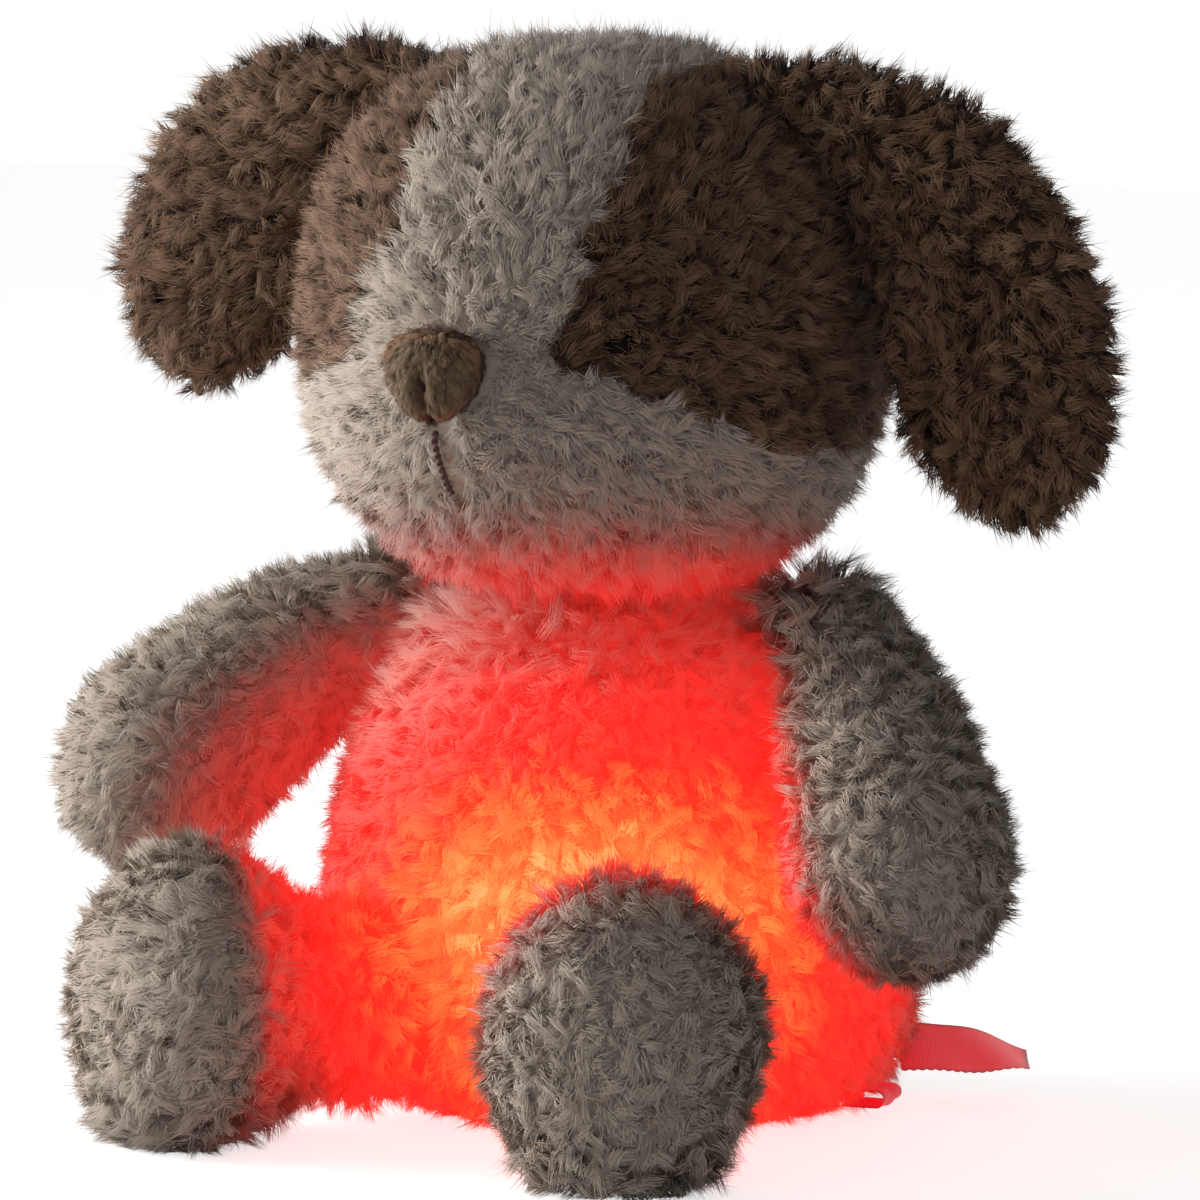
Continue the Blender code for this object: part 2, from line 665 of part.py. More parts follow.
def make_arm(torso, name, side, paint):
    pivot = torso_axis + Vector((side * SHOULDER_OUT, -SHOULDER_FORWARD, SHOULDER_HEIGHT))
    out, forward, drop = LEFT_ARM_REACH if side > 0 else RIGHT_ARM_REACH
    reach = Vector((side * out, -forward, -drop))
    bends = LEFT_ARM_BEND_SHARES if side > 0 else RIGHT_ARM_BEND_SHARES
    bend = Vector([length * share for length, share in zip(reach, bends)])
    arm = limb(name, (Vector(), bend, reach), ARM_ROOT_RADIUS, 0.0, ARM_RADIUS, PAW_RADIUS,
               1.0, 1.0, 2.0, paint["cream"], pivot)
    cut(arm, torso_form(name + "_seat", None, ARM_CLEARANCE))
    for share in ARM_SWEEP_SHARES:
        raise_angle = ARM_RAISE * share
        raised = torso_form(name + "_raised_seat", None, GAP)
        raised.location = pivot + Matrix.Rotation(raise_angle, 3, "X") @ (torso_axis - pivot)
        raised.rotation_euler = (raise_angle, 0.0, 0.0)
        cut(arm, raised)
    join(arm, ball(name + "_ball", ARM_ROOT_RADIUS, pivot, BALL_SIDES))
    cut(torso, ball(name + "_socket", socket_radius(ARM_ROOT_RADIUS), pivot, BALL_SIDES))
    return arm


def make_leg(torso, name, side, paint):
    foot_height = FOOT_RADIUS * FOOT_TALL_SHARE - FLOOR_CUT
    pivot = torso_surface(side * HIP_AZIMUTH, HIP_HEIGHT, HIP_OUT)
    splay = LEFT_LEG_SPLAY if side > 0 else RIGHT_LEG_SPLAY
    aim = Vector((side * math.sin(splay), -math.cos(splay), 0.0))
    rise = Vector((0.0, 0.0, foot_height - HIP_HEIGHT))
    path = (Vector(), aim * (LEG_LENGTH / 2) + rise * LEG_RISE_SHARE, aim * LEG_LENGTH + rise)
    leg = limb(name, path, LEG_ROOT_RADIUS, PINCH, LEG_RADIUS, FOOT_RADIUS, FOOT_TALL_SHARE,
               FOOT_BLUNT_SHARE, FOOT_BLUNT_POWER, paint["cream"], pivot)
    span = LEG_LENGTH + FOOT_RADIUS
    floor = block(name + "_floor", span, span, OVERRUN, None, (pivot.x, pivot.y, -OVERRUN))
    cut(leg, floor)
    cut(torso, ball(name + "_socket", socket_radius(LEG_ROOT_RADIUS, LIMB_SIDES), pivot, LIMB_SIDES))
    return leg


def unit_spot(x, z):
    """A place on the light unit's back face."""
    return unit_back + Vector((x, 0.0, z))


def post_spots():
    circle = CASE_RADIUS - CASE_WALL / 2 - POST_RADIUS
    return [(circle * math.cos(angle), circle * math.sin(angle)) for angle in POST_ANGLES]


def slab(name, half_x, half_z, near, far, material=None, spot=None):
    """A flat block of the light unit between two depths from its back face."""
    centre = (unit_spot(0.0, 0.0) if spot is None else spot) + Vector((0.0, -(near + far) / 2, 0.0))
    return block(name, half_x, (far - near) / 2, half_z, material, centre)


def unit_rod(name, radius, near, far, spot, material=None, sides=SMALL_SIDES):
    return rod(name, radius, -far, -near, material, spot, sides)


bay_half_length = CELL_LENGTH / 2 + CONTACT_ROOM
bay_half_height = (CELL_COUNT - 1) * CELL_PITCH / 2 + CELL_RADIUS + CELL_HEADROOM
bay_floor = COVER_THICKNESS + CELL_HEADROOM + CELL_RADIUS * 2 + GAP
cover_seat = COVER_THICKNESS + GAP
tab_drop = -BAY_DROP - bay_half_height - COVER_LEDGE
key_back = PANEL_THICKNESS + GAP + KEY_FLANGE_THICKNESS
switch_top = key_back + KEY_TRAVEL + GAP
key_board_near = switch_top + SWITCH_STEM_HEIGHT + SWITCH_HEIGHT + GAP
dome_start = CASE_DEPTH + GAP
lamp_ledge = dome_start + LAMP_LEDGE_DEPTH
lamp_board_near = lamp_ledge - GAP - BOARD_THICKNESS


def cover_plate(name, grow, near, far, material=None):
    """The battery cover's outline, a rectangle with a round tab below, between two depths."""
    half_x = bay_half_length + COVER_LEDGE + grow
    half_z = bay_half_height + COVER_LEDGE + grow
    tab = COVER_TAB_RADIUS + grow
    steps = 10
    outline = [(-half_x, half_z), (-half_x, -half_z), (-tab, -half_z)]
    for i in range(1, steps):
        turn = math.pi * i / steps
        outline.append((-tab * math.cos(turn), tab_drop + BAY_DROP - tab * math.sin(turn)))
    outline += [(tab, -half_z), (half_x, -half_z), (half_x, half_z)]
    rings = [[Vector((x, -depth, z)) for x, z in outline] for depth in (near, far)]
    return loft(name, rings, None, None, material, unit_spot(0.0, -BAY_DROP))


def make_rear_case(paint):
    """The back half of the case: panel, battery bay, screw posts and the rib that backs the key board."""
    inner = CASE_RADIUS - CASE_WALL
    cup = [(0.0, 0.0), (CASE_RADIUS, 0.0), (CASE_RADIUS, -CASE_DEPTH), (inner, -CASE_DEPTH),
           (inner, -PANEL_THICKNESS), (0.0, -PANEL_THICKNESS)]
    case = turned("rear_case", cup, paint["shell"], unit_back)
    inside = PANEL_THICKNESS / 2
    bay_spot = unit_spot(0.0, -BAY_DROP)
    rim = COVER_LEDGE + BAY_WALL
    join(case, slab("bay_walls", bay_half_length + rim, bay_half_height + rim, inside, bay_floor + BAY_WALL,
                    None, bay_spot))
    tab_spot = unit_spot(0.0, tab_drop)
    boss_end = cover_seat + COVER_SCREW_LENGTH + BAY_WALL
    join(case, unit_rod("tab_boss", COVER_TAB_RADIUS, inside, boss_end, tab_spot))
    recess = SCREW_HEAD_RADIUS + GAP
    bore = SCREW_RADIUS + GAP
    post_end = CASE_DEPTH - GAP
    post = [(recess, -POST_MOUTH_DEPTH), (POST_RADIUS, -POST_MOUTH_DEPTH), (POST_RADIUS, -post_end),
            (bore, -post_end), (bore, -POST_RECESS_DEPTH), (recess, -POST_RECESS_DEPTH)]
    for i, (x, z) in enumerate(post_spots()):
        cut(case, unit_rod(f"post_mouth_{i}", POST_MOUTH_RADIUS, -OVERRUN, PANEL_THICKNESS + OVERRUN,
                           unit_spot(x, z)))
    # The exact solver leaves split edges round the panel's holes, so the rest uses the other one
    solver = "MANIFOLD"
    for i, (x, z) in enumerate(post_spots()):
        join(case, turned(f"case_post_{i}", post, None, unit_spot(x, z), SMALL_SIDES), solver)
    join(case, slab("key_rib", KEY_RIB_HALF_WIDTH, KEY_RIB_HALF_HEIGHT, inside, key_board_near - GAP, None,
                    unit_spot(0.0, KEY_RISE)), solver)
    cut(case, slab("bay_space", bay_half_length, bay_half_height, -OVERRUN, bay_floor, None, bay_spot),
        solver)
    cut(case, cover_plate("cover_rebate", GAP, -OVERRUN, cover_seat), solver)
    cut(case, unit_rod("tab_bore", SCREW_RADIUS + GAP, -OVERRUN, cover_seat + COVER_SCREW_LENGTH, tab_spot),
        solver)
    for side in (-1, 1):
        cut(case, unit_rod(f"key_hole_{side + 1}", KEY_RADIUS + GAP, -OVERRUN, PANEL_THICKNESS + OVERRUN,
                           unit_spot(side * KEY_SPACING / 2, KEY_RISE), None, KEY_SIDES), solver)
    return case


def make_dome(paint):
    """The frosted front half: a skirt with a ledge for the lamp board, and blind screw posts."""
    outer_end = dome_start + SKIRT_DEPTH
    wall = CASE_RADIUS - CASE_WALL
    lip = wall - LEDGE_WIDTH
    steps = 7
    arc = [(math.cos(math.pi / 2 * i / steps), math.sin(math.pi / 2 * i / steps)) for i in range(1, steps)]
    profile = [(CASE_RADIUS, -dome_start), (CASE_RADIUS, -outer_end)]
    profile += [(CASE_RADIUS * c, -outer_end - DOME_DEPTH * s) for c, s in arc]
    profile += [(0.0, -outer_end - DOME_DEPTH), (0.0, -outer_end - DOME_DEPTH + DOME_WALL)]
    profile += [(lip * c, -outer_end - (DOME_DEPTH - DOME_WALL) * s) for c, s in arc[::-1]]
    profile += [(lip, -outer_end), (lip, -lamp_ledge), (wall, -lamp_ledge), (wall, -dome_start)]
    dome = turned("diffuser_dome", profile, paint["dome"], unit_back)
    post_end = lamp_ledge + LEDGE_WIDTH
    post_start = dome_start + GAP
    bore = SCREW_RADIUS + GAP
    bore_end = POST_RECESS_DEPTH + CASE_SCREW_LENGTH + GAP
    post = [(bore, -post_start), (POST_RADIUS, -post_start), (POST_RADIUS, -post_end), (0.0, -post_end),
            (0.0, -bore_end), (bore, -bore_end)]
    for i, (x, z) in enumerate(post_spots()):
        join(dome, turned(f"dome_post_{i}", post, None, unit_spot(x, z), SMALL_SIDES))
    return dome


def make_screw(name, spot, under_head, length, paint):
    """A flat-headed screw along Y whose head rests at a depth from the unit's back face."""
    head = under_head - SCREW_HEAD_HEIGHT
    tip = under_head + length
    profile = [(0.0, -head), (SCREW_HEAD_RADIUS, -head), (SCREW_HEAD_RADIUS, -under_head),
               (SCREW_RADIUS, -under_head), (SCREW_RADIUS, -tip), (0.0, -tip)]
    return turned(name, profile, paint["steel"], spot, SMALL_SIDES)


def make_lamp_board(paint):
    radius = CASE_RADIUS - CASE_WALL - GAP
    board = unit_rod("lamp_board", radius, lamp_board_near, lamp_board_near + BOARD_THICKNESS,
                     unit_back.copy(), paint["board"], ROUND_SIDES)
    for i, (x, z) in enumerate(post_spots()):
        cut(board, unit_rod(f"board_notch_{i}", POST_RADIUS + GAP, lamp_board_near - OVERRUN,
                            lamp_ledge + OVERRUN, unit_spot(x, z)))
    pieces = [board]
    steps = 3
    for i in range(LED_COUNT):
        turn = TURN * (i + 0.5) / LED_COUNT
        spot = unit_spot(LED_CIRCLE_RADIUS * math.cos(turn), LED_CIRCLE_RADIUS * math.sin(turn))
        barrel = lamp_ledge + LED_HEIGHT - LED_RADIUS
        profile = [(0.0, -lamp_ledge), (LED_RADIUS, -lamp_ledge), (LED_RADIUS, -barrel)]
        profile += [(LED_RADIUS * math.cos(math.pi / 2 * k / steps),
                     -barrel - LED_RADIUS * math.sin(math.pi / 2 * k / steps)) for k in range(1, steps)]
        profile += [(0.0, -barrel - LED_RADIUS)]
        pieces.append(turned(f"lamp_{i + 1}", profile, paint["lamp"], spot, SMALL_SIDES))
    return pieces


def make_keys(paint):
    """Two round keys in the panel, each over its own switch on the key board."""
    board = slab("key_board", KEY_BOARD_HALF_WIDTH, KEY_BOARD_HALF_HEIGHT, key_board_near,
                 key_board_near + BOARD_THICKNESS, paint["board"], unit_spot(0.0, KEY_RISE))
    fixed = [board]
    keys = []
    for word, side in (("power", -1), ("colour", 1)):
        spot = unit_spot(side * KEY_SPACING / 2, KEY_RISE)
        profile = [(0.0, KEY_PROUD), (KEY_RADIUS, KEY_PROUD), (KEY_RADIUS, -PANEL_THICKNESS - GAP),
                   (KEY_RADIUS + KEY_FLANGE, -PANEL_THICKNESS - GAP), (KEY_RADIUS + KEY_FLANGE, -key_back),
                   (0.0, -key_back)]
        keys.append(turned(word + "_key", profile, paint["key"], spot, KEY_SIDES))
        body = slab(word + "_switch", SWITCH_HALF_SIZE, SWITCH_HALF_SIZE, switch_top + SWITCH_STEM_HEIGHT,
                    key_board_near - GAP, paint["steel"], spot)
        join(body, unit_rod(word + "_stem", SWITCH_STEM_RADIUS, switch_top,
                            switch_top + SWITCH_STEM_HEIGHT * 2, spot))
        fixed.append(body)
    return fixed, keys


def cell_height(i):
    return -BAY_DROP + CELL_PITCH * ((CELL_COUNT - 1) / 2 - i)


def make_cells(paint):
    """The cells lie along X, turn about, each end on a sprung contact."""
    depth = bay_floor - GAP - CELL_RADIUS
    pieces = []
    for i in range(CELL_COUNT):
        way = 1 if i % 2 == 0 else -1
        half = CELL_LENGTH / 2
        profile = [(0.0, -half), (CELL_RADIUS, -half), (CELL_RADIUS, half - CELL_NUB_LENGTH),
                   (CELL_NUB_RADIUS, half - CELL_NUB_LENGTH), (CELL_NUB_RADIUS, half), (0.0, half)]
        cell = turned(f"battery_cell_{i + 1}", profile, paint["cell"],
                      unit_spot(0.0, cell_height(i)) + Vector((0.0, -depth, 0.0)), KEY_SIDES)
        cell.rotation_euler = (0.0, 0.0, -way * math.pi / 2)
        pieces.append(cell)
    return pieces


def make_contact(name, side, rows, paint):
    """A plate at one end of the bay with a bump for each cell that it touches."""
    depth = bay_floor - GAP - CELL_RADIUS
    middle = sum(cell_height(i) for i in rows) / len(rows)
    reach = abs(cell_height(rows[0]) - cell_height(rows[-1])) / 2 + CONTACT_HALF_WIDTH
    x = side * (bay_half_length - GAP - CONTACT_THICKNESS / 2)
    plate = block(name, CONTACT_THICKNESS / 2, CONTACT_HALF_WIDTH, reach, paint["steel"],
                  unit_spot(x, middle) + Vector((0.0, -depth, 0.0)))
    tip = CONTACT_ROOM - GAP * 2 - CONTACT_THICKNESS / 2
    for i in rows:
        bump = turned(f"{name}_bump_{i}", [(0.0, 0.0), (CONTACT_BUMP_RADIUS, 0.0),
                                           (CONTACT_TIP_RADIUS, tip), (0.0, tip)], None,
                      unit_spot(x, cell_height(i)) + Vector((0.0, -depth, 0.0)), SMALL_SIDES)
        bump.rotation_euler = (0.0, 0.0, side * math.pi / 2)
        join(plate, bump)
    return plate


def make_cover(paint):
    """The battery cover, with a tab for its screw at the bottom."""
    cover = cover_plate("battery_cover", 0.0, 0.0, COVER_THICKNESS, paint["shell"])
    tab_spot = unit_spot(0.0, tab_drop)
    cut(cover, unit_rod("cover_hole", SCREW_RADIUS + GAP, -OVERRUN, COVER_THICKNESS + OVERRUN, tab_spot))
    cut(cover, unit_rod("cover_recess", SCREW_HEAD_RADIUS + GAP, -OVERRUN, SCREW_HEAD_HEIGHT + GAP,
                        tab_spot))
    screw = make_screw("cover_screw", tab_spot, SCREW_HEAD_HEIGHT, COVER_SCREW_LENGTH, paint)
    return cover, screw


def make_lamp_lead(paint):
    """The wire from the key board forward to the lamp board."""
    start = key_board_near + BOARD_THICKNESS + GAP
    end = lamp_board_near - GAP
    curve = bpy.data.curves.new("lamp_lead", "CURVE")
    curve.dimensions = "3D"
    curve.bevel_depth = LEAD_RADIUS
    curve.bevel_resolution = 1
    curve.use_fill_caps = True
    line = curve.splines.new("POLY")
    steps = 8
    line.points.add(steps)
    for i in range(steps + 1):
        at = i / steps
        eased = at * at * (3 - 2 * at)
        line.points[i].co = (LEAD_OFFSET, -start - (end - start) * at, KEY_RISE - LEAD_DROP * eased, 1.0)
    curve.materials.append(paint["tape"])
    made = bpy.data.objects.new("lamp_lead", curve)
    made.location = unit_back
    bpy.context.scene.collection.objects.link(made)
    return made


def make_light_unit(torso, paint):
    case = make_rear_case(paint)
    carry(case, torso)
    pieces = [make_dome(paint)] + make_lamp_board(paint) + make_cells(paint)
    pieces.append(make_contact("bridge_contact", -1, tuple(range(CELL_COUNT)), paint))
    pieces.append(make_contact("positive_contact", 1, (0,), paint))
    pieces.append(make_contact("negative_contact", 1, (CELL_COUNT - 1,), paint))
    pieces.append(make_lamp_lead(paint))
    for i, (x, z) in enumerate(post_spots()):
        pieces.append(make_screw(f"case_screw_{i + 1}", unit_spot(x, z), POST_RECESS_DEPTH - GAP,
                                 CASE_SCREW_LENGTH, paint))
    fixed, keys = make_keys(paint)
    cover, screw = make_cover(paint)
    for piece in pieces + fixed + keys + [cover]:
        carry(piece, case)
    carry(screw, cover)


def make_care_label(paint):
    """A ribbon label sewn into the left hip seam: it stands out and sags towards its end."""
    normal = Vector((math.sin(LABEL_AZIMUTH), -math.cos(LABEL_AZIMUTH), 0.0))
    along_hip = Vector((-normal.y, normal.x, 0.0))
    across = along_hip * math.cos(LABEL_TILT) + Vector((0.0, 0.0, math.sin(LABEL_TILT)))
    start = torso_surface(LABEL_AZIMUTH, LABEL_HEIGHT) - normal * LABEL_TUCK
    thick = normal.cross(across) * (LABEL_THICKNESS / 2)
    rings = []
    steps = 6
    length = LABEL_LENGTH + LABEL_TUCK
    for i in range(steps + 1):
        at = i / steps
        centre = start + normal * (length * at) - Vector((0.0, 0.0, LABEL_SAG * at * at))
        low = centre - across * (LABEL_WIDTH / 2)
        high = centre + across * (LABEL_WIDTH / 2)
        rings.append([low - thick, high - thick, high + thick, low + thick])
    label = loft("care_label", rings, None, None, paint["satin"])
    return cut(label, torso_form("care_label_seat", None, GAP))


def make_loop_label(paint):
    """A short folded ribbon under the care label, both its ends in the seam."""
    normal = Vector((math.sin(LOOP_AZIMUTH), -math.cos(LOOP_AZIMUTH), 0.0))
    across = Vector((-normal.y, normal.x, 0.0)) * (LOOP_WIDTH / 2)
    start = torso_surface(LOOP_AZIMUTH, LOOP_HEIGHT)
    path = [(-LOOP_TUCK, LOOP_RADIUS)]
    steps = 6
    for i in range(steps + 1):
        turn = math.pi / 2 - math.pi * i / steps
        path.append((LOOP_LENGTH + LOOP_RADIUS * math.cos(turn), LOOP_RADIUS * math.sin(turn)))
    path.append((-LOOP_TUCK, -LOOP_RADIUS))
    rings = []
    for i, (out, up) in enumerate(path):
        before = path[max(i - 1, 0)]
        after = path[min(i + 1, len(path) - 1)]
        run = Vector((after[0] - before[0], after[1] - before[1])).normalized()
        out_half = run.y * LABEL_THICKNESS / 2
        up_half = -run.x * LABEL_THICKNESS / 2
        low = start + normal * (out - out_half) + Vector((0.0, 0.0, up - up_half))
        high = start + normal * (out + out_half) + Vector((0.0, 0.0, up + up_half))
        rings.append([low - across, low + across, high + across, high - across])
    loop = loft("loop_label", rings, None, None, paint["satin"])
    return cut(loop, torso_form("loop_label_seat", None, GAP))


def main():
    clear_scene()
    paint = make_materials()
    torso = torso_form("torso", paint["cream"])
    head = make_head(torso, paint)
    carry(head, torso)
    carry(make_nose(paint), head)
    carry(make_mouth(paint), head)
    for word, side in (("left", 1), ("right", -1)):
        carry(make_eye(head, word + "_eye", side, paint), head)
        carry(make_ear(head, word + "_ear", side, paint), head)
        carry(make_arm(torso, word + "_arm", side, paint), torso)
        carry(make_leg(torso, word + "_leg", side, paint), torso)
    for piece in make_pocket(torso, paint) + (make_care_label(paint), make_loop_label(paint)):
        carry(piece, torso)
    make_light_unit(torso, paint)


main()
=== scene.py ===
import json
from math import atan, ceil, cos, exp, pi, radians, sin

import bpy
import numpy as np
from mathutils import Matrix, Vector
from mathutils.bvhtree import BVHTree
from mathutils.kdtree import KDTree


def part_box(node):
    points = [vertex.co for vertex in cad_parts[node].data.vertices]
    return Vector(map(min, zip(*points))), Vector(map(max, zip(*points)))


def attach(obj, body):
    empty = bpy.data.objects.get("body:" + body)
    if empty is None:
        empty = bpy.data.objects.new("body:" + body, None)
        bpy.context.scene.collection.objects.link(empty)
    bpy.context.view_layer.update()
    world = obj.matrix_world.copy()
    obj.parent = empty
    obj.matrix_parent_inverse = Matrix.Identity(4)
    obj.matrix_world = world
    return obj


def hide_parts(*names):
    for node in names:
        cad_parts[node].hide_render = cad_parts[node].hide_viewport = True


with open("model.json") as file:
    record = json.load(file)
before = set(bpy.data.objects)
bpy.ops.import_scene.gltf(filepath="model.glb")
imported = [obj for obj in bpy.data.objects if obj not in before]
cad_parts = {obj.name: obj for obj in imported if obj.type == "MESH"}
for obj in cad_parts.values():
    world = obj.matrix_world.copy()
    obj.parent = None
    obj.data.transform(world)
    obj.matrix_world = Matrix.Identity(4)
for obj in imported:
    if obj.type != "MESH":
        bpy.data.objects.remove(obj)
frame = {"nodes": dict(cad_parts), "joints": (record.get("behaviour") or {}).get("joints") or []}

scene = bpy.context.scene
nodes = frame["nodes"]
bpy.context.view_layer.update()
fullTurn = 2 * pi

# Places on the puppy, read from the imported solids
headDepth = 0.058  # half of the head, without its muzzle
headHeight = 0.058
headLow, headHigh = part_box("head")
headCentre = np.array((0.0, headHigh.y - headDepth, headHigh.z - headHeight))
noseLow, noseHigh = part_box("nose")
noseSpot = np.array((noseLow + noseHigh) / 2)
stitchLow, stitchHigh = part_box("mouth_stitch")
caseLow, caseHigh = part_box("rear_case")
linerLow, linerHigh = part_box("pocket_liner")
unitSpot = np.array(((caseLow.x + caseHigh.x) / 2, caseHigh.y, (caseLow.z + caseHigh.z) / 2))


def middle(node):
    low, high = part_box(node)
    return np.array((low + high) / 2)


def unit(vectors):
    return vectors / np.maximum(np.linalg.norm(vectors, axis=-1, keepdims=True), 1e-9)


def ease(share):
    share = np.clip(share, 0.0, 1.0)
    return share * share * (3 - 2 * share)


def rising(values, start, over):
    return ease((values - start) / over)


def falling(values, start, over):
    return ease((start - values) / over)


def linear(red, green, blue):
    # a screen colour from 0 to 255, as the shader wants it
    shares = [c / 255 for c in (red, green, blue)]
    return tuple(c / 12.92 if c < 0.0405 else ((c + 0.055) / 1.055) ** 2.4 for c in shares) + (1.0,)


# Shader writing

class Number:
    # One number socket of a finish; sums written with it add Math nodes
    def __init__(self, finish, socket):
        self.finish = finish
        self.socket = socket

    def sum(self, operation, first, second):
        return self.finish.add("ShaderNodeMath", {"operation": operation}, {0: first, 1: second})

    def __add__(self, other):
        return self.sum("ADD", self, other)

    def __sub__(self, other):
        return self.sum("SUBTRACT", self, other)

    def __rsub__(self, other):
        return self.sum("SUBTRACT", other, self)

    def __mul__(self, other):
        return self.sum("MULTIPLY", self, other)

    def __pow__(self, other):
        return self.sum("POWER", self, other)

    __radd__ = __add__
    __rmul__ = __mul__


class Finish:
    # A material or a world under construction
    def __init__(self, name, holder=None):
        self.holder = holder or bpy.data.materials.new(name)
        self.holder.use_nodes = True
        self.tree = self.holder.node_tree
        self.shader = self.tree.nodes.get("Principled BSDF")

    def connect(self, socket, value):
        if isinstance(value, Number):
            self.tree.links.new(value.socket, socket)
        else:
            socket.default_value = value

    def add(self, kind, settings=None, inputs=None, output=0):
        node = self.tree.nodes.new(kind)
        for name, setting in (settings or {}).items():
            if name == "stops":
                ramp = node.color_ramp.elements
                while len(ramp) < len(setting):
                    ramp.new(0.5)
                for element, (at, *colour) in zip(ramp, setting):
                    element.position = at
                    element.color = (*colour, 1)
            else:
                setattr(node, name, setting)
        for name, value in (inputs or {}).items():
            self.connect(node.inputs[name], value)
        return Number(self, node.outputs[output])

    def attribute(self, name):
        return self.add("ShaderNodeAttribute", {"attribute_name": name}, output="Fac")

    def noise(self, scale, detail=3.0):
        place = self.add("ShaderNodeTexCoord", output="Object")
        return self.add("ShaderNodeTexNoise", {}, {
            "Vector": place, "Scale": scale, "Detail": detail, "Roughness": 0.55})

    def mix(self, share, first, second):
        return self.add("ShaderNodeMix", {"data_type": "RGBA"}, {0: share, 6: first, 7: second}, 2)

    def ramp(self, share, stops):
        return self.add("ShaderNodeValToRGB", {"stops": stops}, {0: share})

    def bump(self, height, depth):
        return self.add("ShaderNodeBump", {}, {"Height": height, "Distance": depth})

    def seen(self):
        # 1 where the camera looks, also in a mirror or through glass
        shown = self.add("ShaderNodeLightPath", output="Is Camera Ray")
        for ray in ("Is Glossy Ray", "Is Transmission Ray"):
            other = self.add("ShaderNodeLightPath", output=ray)
            shown = self.add("ShaderNodeMath", {"operation": "MAXIMUM"}, {0: shown, 1: other})
        return shown

    def surface(self, **values):
        for name, value in values.items():
            self.connect(self.shader.inputs[name.replace("_", " ")], value)
        if "Emission_Color" in values:
            self.holder.cycles.emission_sampling = "NONE"
        return self.holder


# Colours and finishes

# the deep colours also darken the fibres towards their roots, as painted shade deep in the pile
plush = {
    "cream": linear(228, 214, 200),
    "creamDeep": linear(184, 166, 150),
    "brown": linear(94, 62, 42),
    "brownTip": linear(192, 152, 122),
    "brownDeep": linear(44, 27, 16),
    "litPile": linear(172, 50, 38),
}
glowLight = {
    "stops": [
        # share of the light, then red, green and blue
        (0.00, 0.0, 0.0, 0.0), (0.12, 0.020, 0.002, 0.001), (0.24, 0.10, 0.005, 0.004),
        (0.34, 0.28, 0.011, 0.008), (0.48, 0.48, 0.015, 0.011), (0.62, 0.84, 0.013, 0.010),
        (0.72, 0.92, 0.035, 0.016), (0.83, 0.94, 0.16, 0.036), (0.93, 0.97, 0.31, 0.075),
        (1.00, 1.0, 0.56, 0.19),
    ],
    "centre": (0.012, 0.002, 0.048),
    "near": 0.034,  # full light within this distance
    "far": 0.115,  # none past this one
    "farOutside": 0.128,  # the same for limbs, ears and head
    "closeBy": (0.088, 0.022),  # nearer than this a leg glows all round, eased over the second distance
    "upward": 1.32,  # it fades faster towards the neck
    "takes": {"head": 1.3, "left_arm": 0.88, "right_arm": 0.88},  # how much a form takes; others 1
    "edgeOn": 0.36,  # limbs, ears and head glow where they face the belly
    "facing": 1.15,
    "caseShade": 0.80,  # the light unit shades the back
    "shade": (0.030, 0.045),  # its start and width, as in every pair below
}


def makePileFinish():
    finish = Finish("plush_pile")
    patch, tone, along, glow = map(finish.attribute, ("patch", "tone", "along", "glow"))
    drift = finish.noise(90.0)
    share = tone * 0.6 + drift * 0.4
    cream = finish.mix(share * 0.55, plush["cream"], plush["creamDeep"])
    brown = finish.mix(share * 1.5 - 0.25, plush["brownTip"], plush["brown"])
    # the roots are darkened towards the deep colours: painted shade deep in the pile
    cream = finish.mix((1 - along) ** 2.0 * 0.4, cream, plush["creamDeep"])
    brown = finish.mix((1 - along) * 0.95, brown, plush["brownDeep"])
    base = finish.mix(patch, cream, brown)
    base = finish.mix(glow * 1.15, base, plush["litPile"])
    light = finish.ramp(glow * (0.74 + tone * 0.24 + along * 0.11), glowLight["stops"])
    fibre = finish.noise(2400.0, 2.0)
    return finish.surface(
        Base_Color=base, Roughness=0.72 + tone * 0.2, Emission_Color=light, Emission_Strength=1.0,
        Sheen_Weight=0.25, Sheen_Roughness=0.4, Specular_IOR_Level=0.25, Normal=finish.bump(fibre, 0.0001))


def makeClothFinish():
    # the knitted backing under the pile
    finish = Finish("plush_backing")
    patch, glow = map(finish.attribute, ("patch", "glow"))
    knit = finish.noise(1500.0, 2.0)
    base = finish.mix(patch, plush["cream"], plush["brownDeep"])
    base = finish.mix(knit * 0.15, base, plush["creamDeep"])
    base = finish.mix(glow * 1.15, base, plush["litPile"])
    light = finish.ramp(glow * (0.78 + knit * 0.1), glowLight["stops"])
    return finish.surface(
        Base_Color=base, Roughness=0.8 + knit * 0.15, Emission_Color=light, Emission_Strength=0.9,
        Specular_IOR_Level=0.2, Normal=finish.bump(knit, 0.0003))


def makeNoseFinish():
    # velour: dark short fibres with paler tips and painted shade at their roots, tan at the rim, and painted
    # shade down the groove
    finish = Finish("nose_velour")
    rim, tone, along = map(finish.attribute, ("patch", "tone", "along"))
    pile = finish.noise(900.0, 4.0)
    share = tone * 0.7 + pile * 0.3
    base = finish.mix(share, linear(182, 154, 124), linear(112, 84, 62))
    # painted shade at the roots of the velour
    base = finish.mix((1 - along) * 0.55, base, linear(48, 34, 25))
    base = finish.mix(rim * 0.7, base, linear(196, 150, 112))  # the rim is 1, the groove -1
    # painted shade down the groove
    base = finish.mix(rim * -0.9, base, linear(66, 30, 22))
    return finish.surface(
        Base_Color=base, Roughness=0.6 + pile * 0.3, Sheen_Weight=0.3, Sheen_Roughness=0.35,
        Specular_IOR_Level=0.3, Normal=finish.bump(pile, 0.0002))


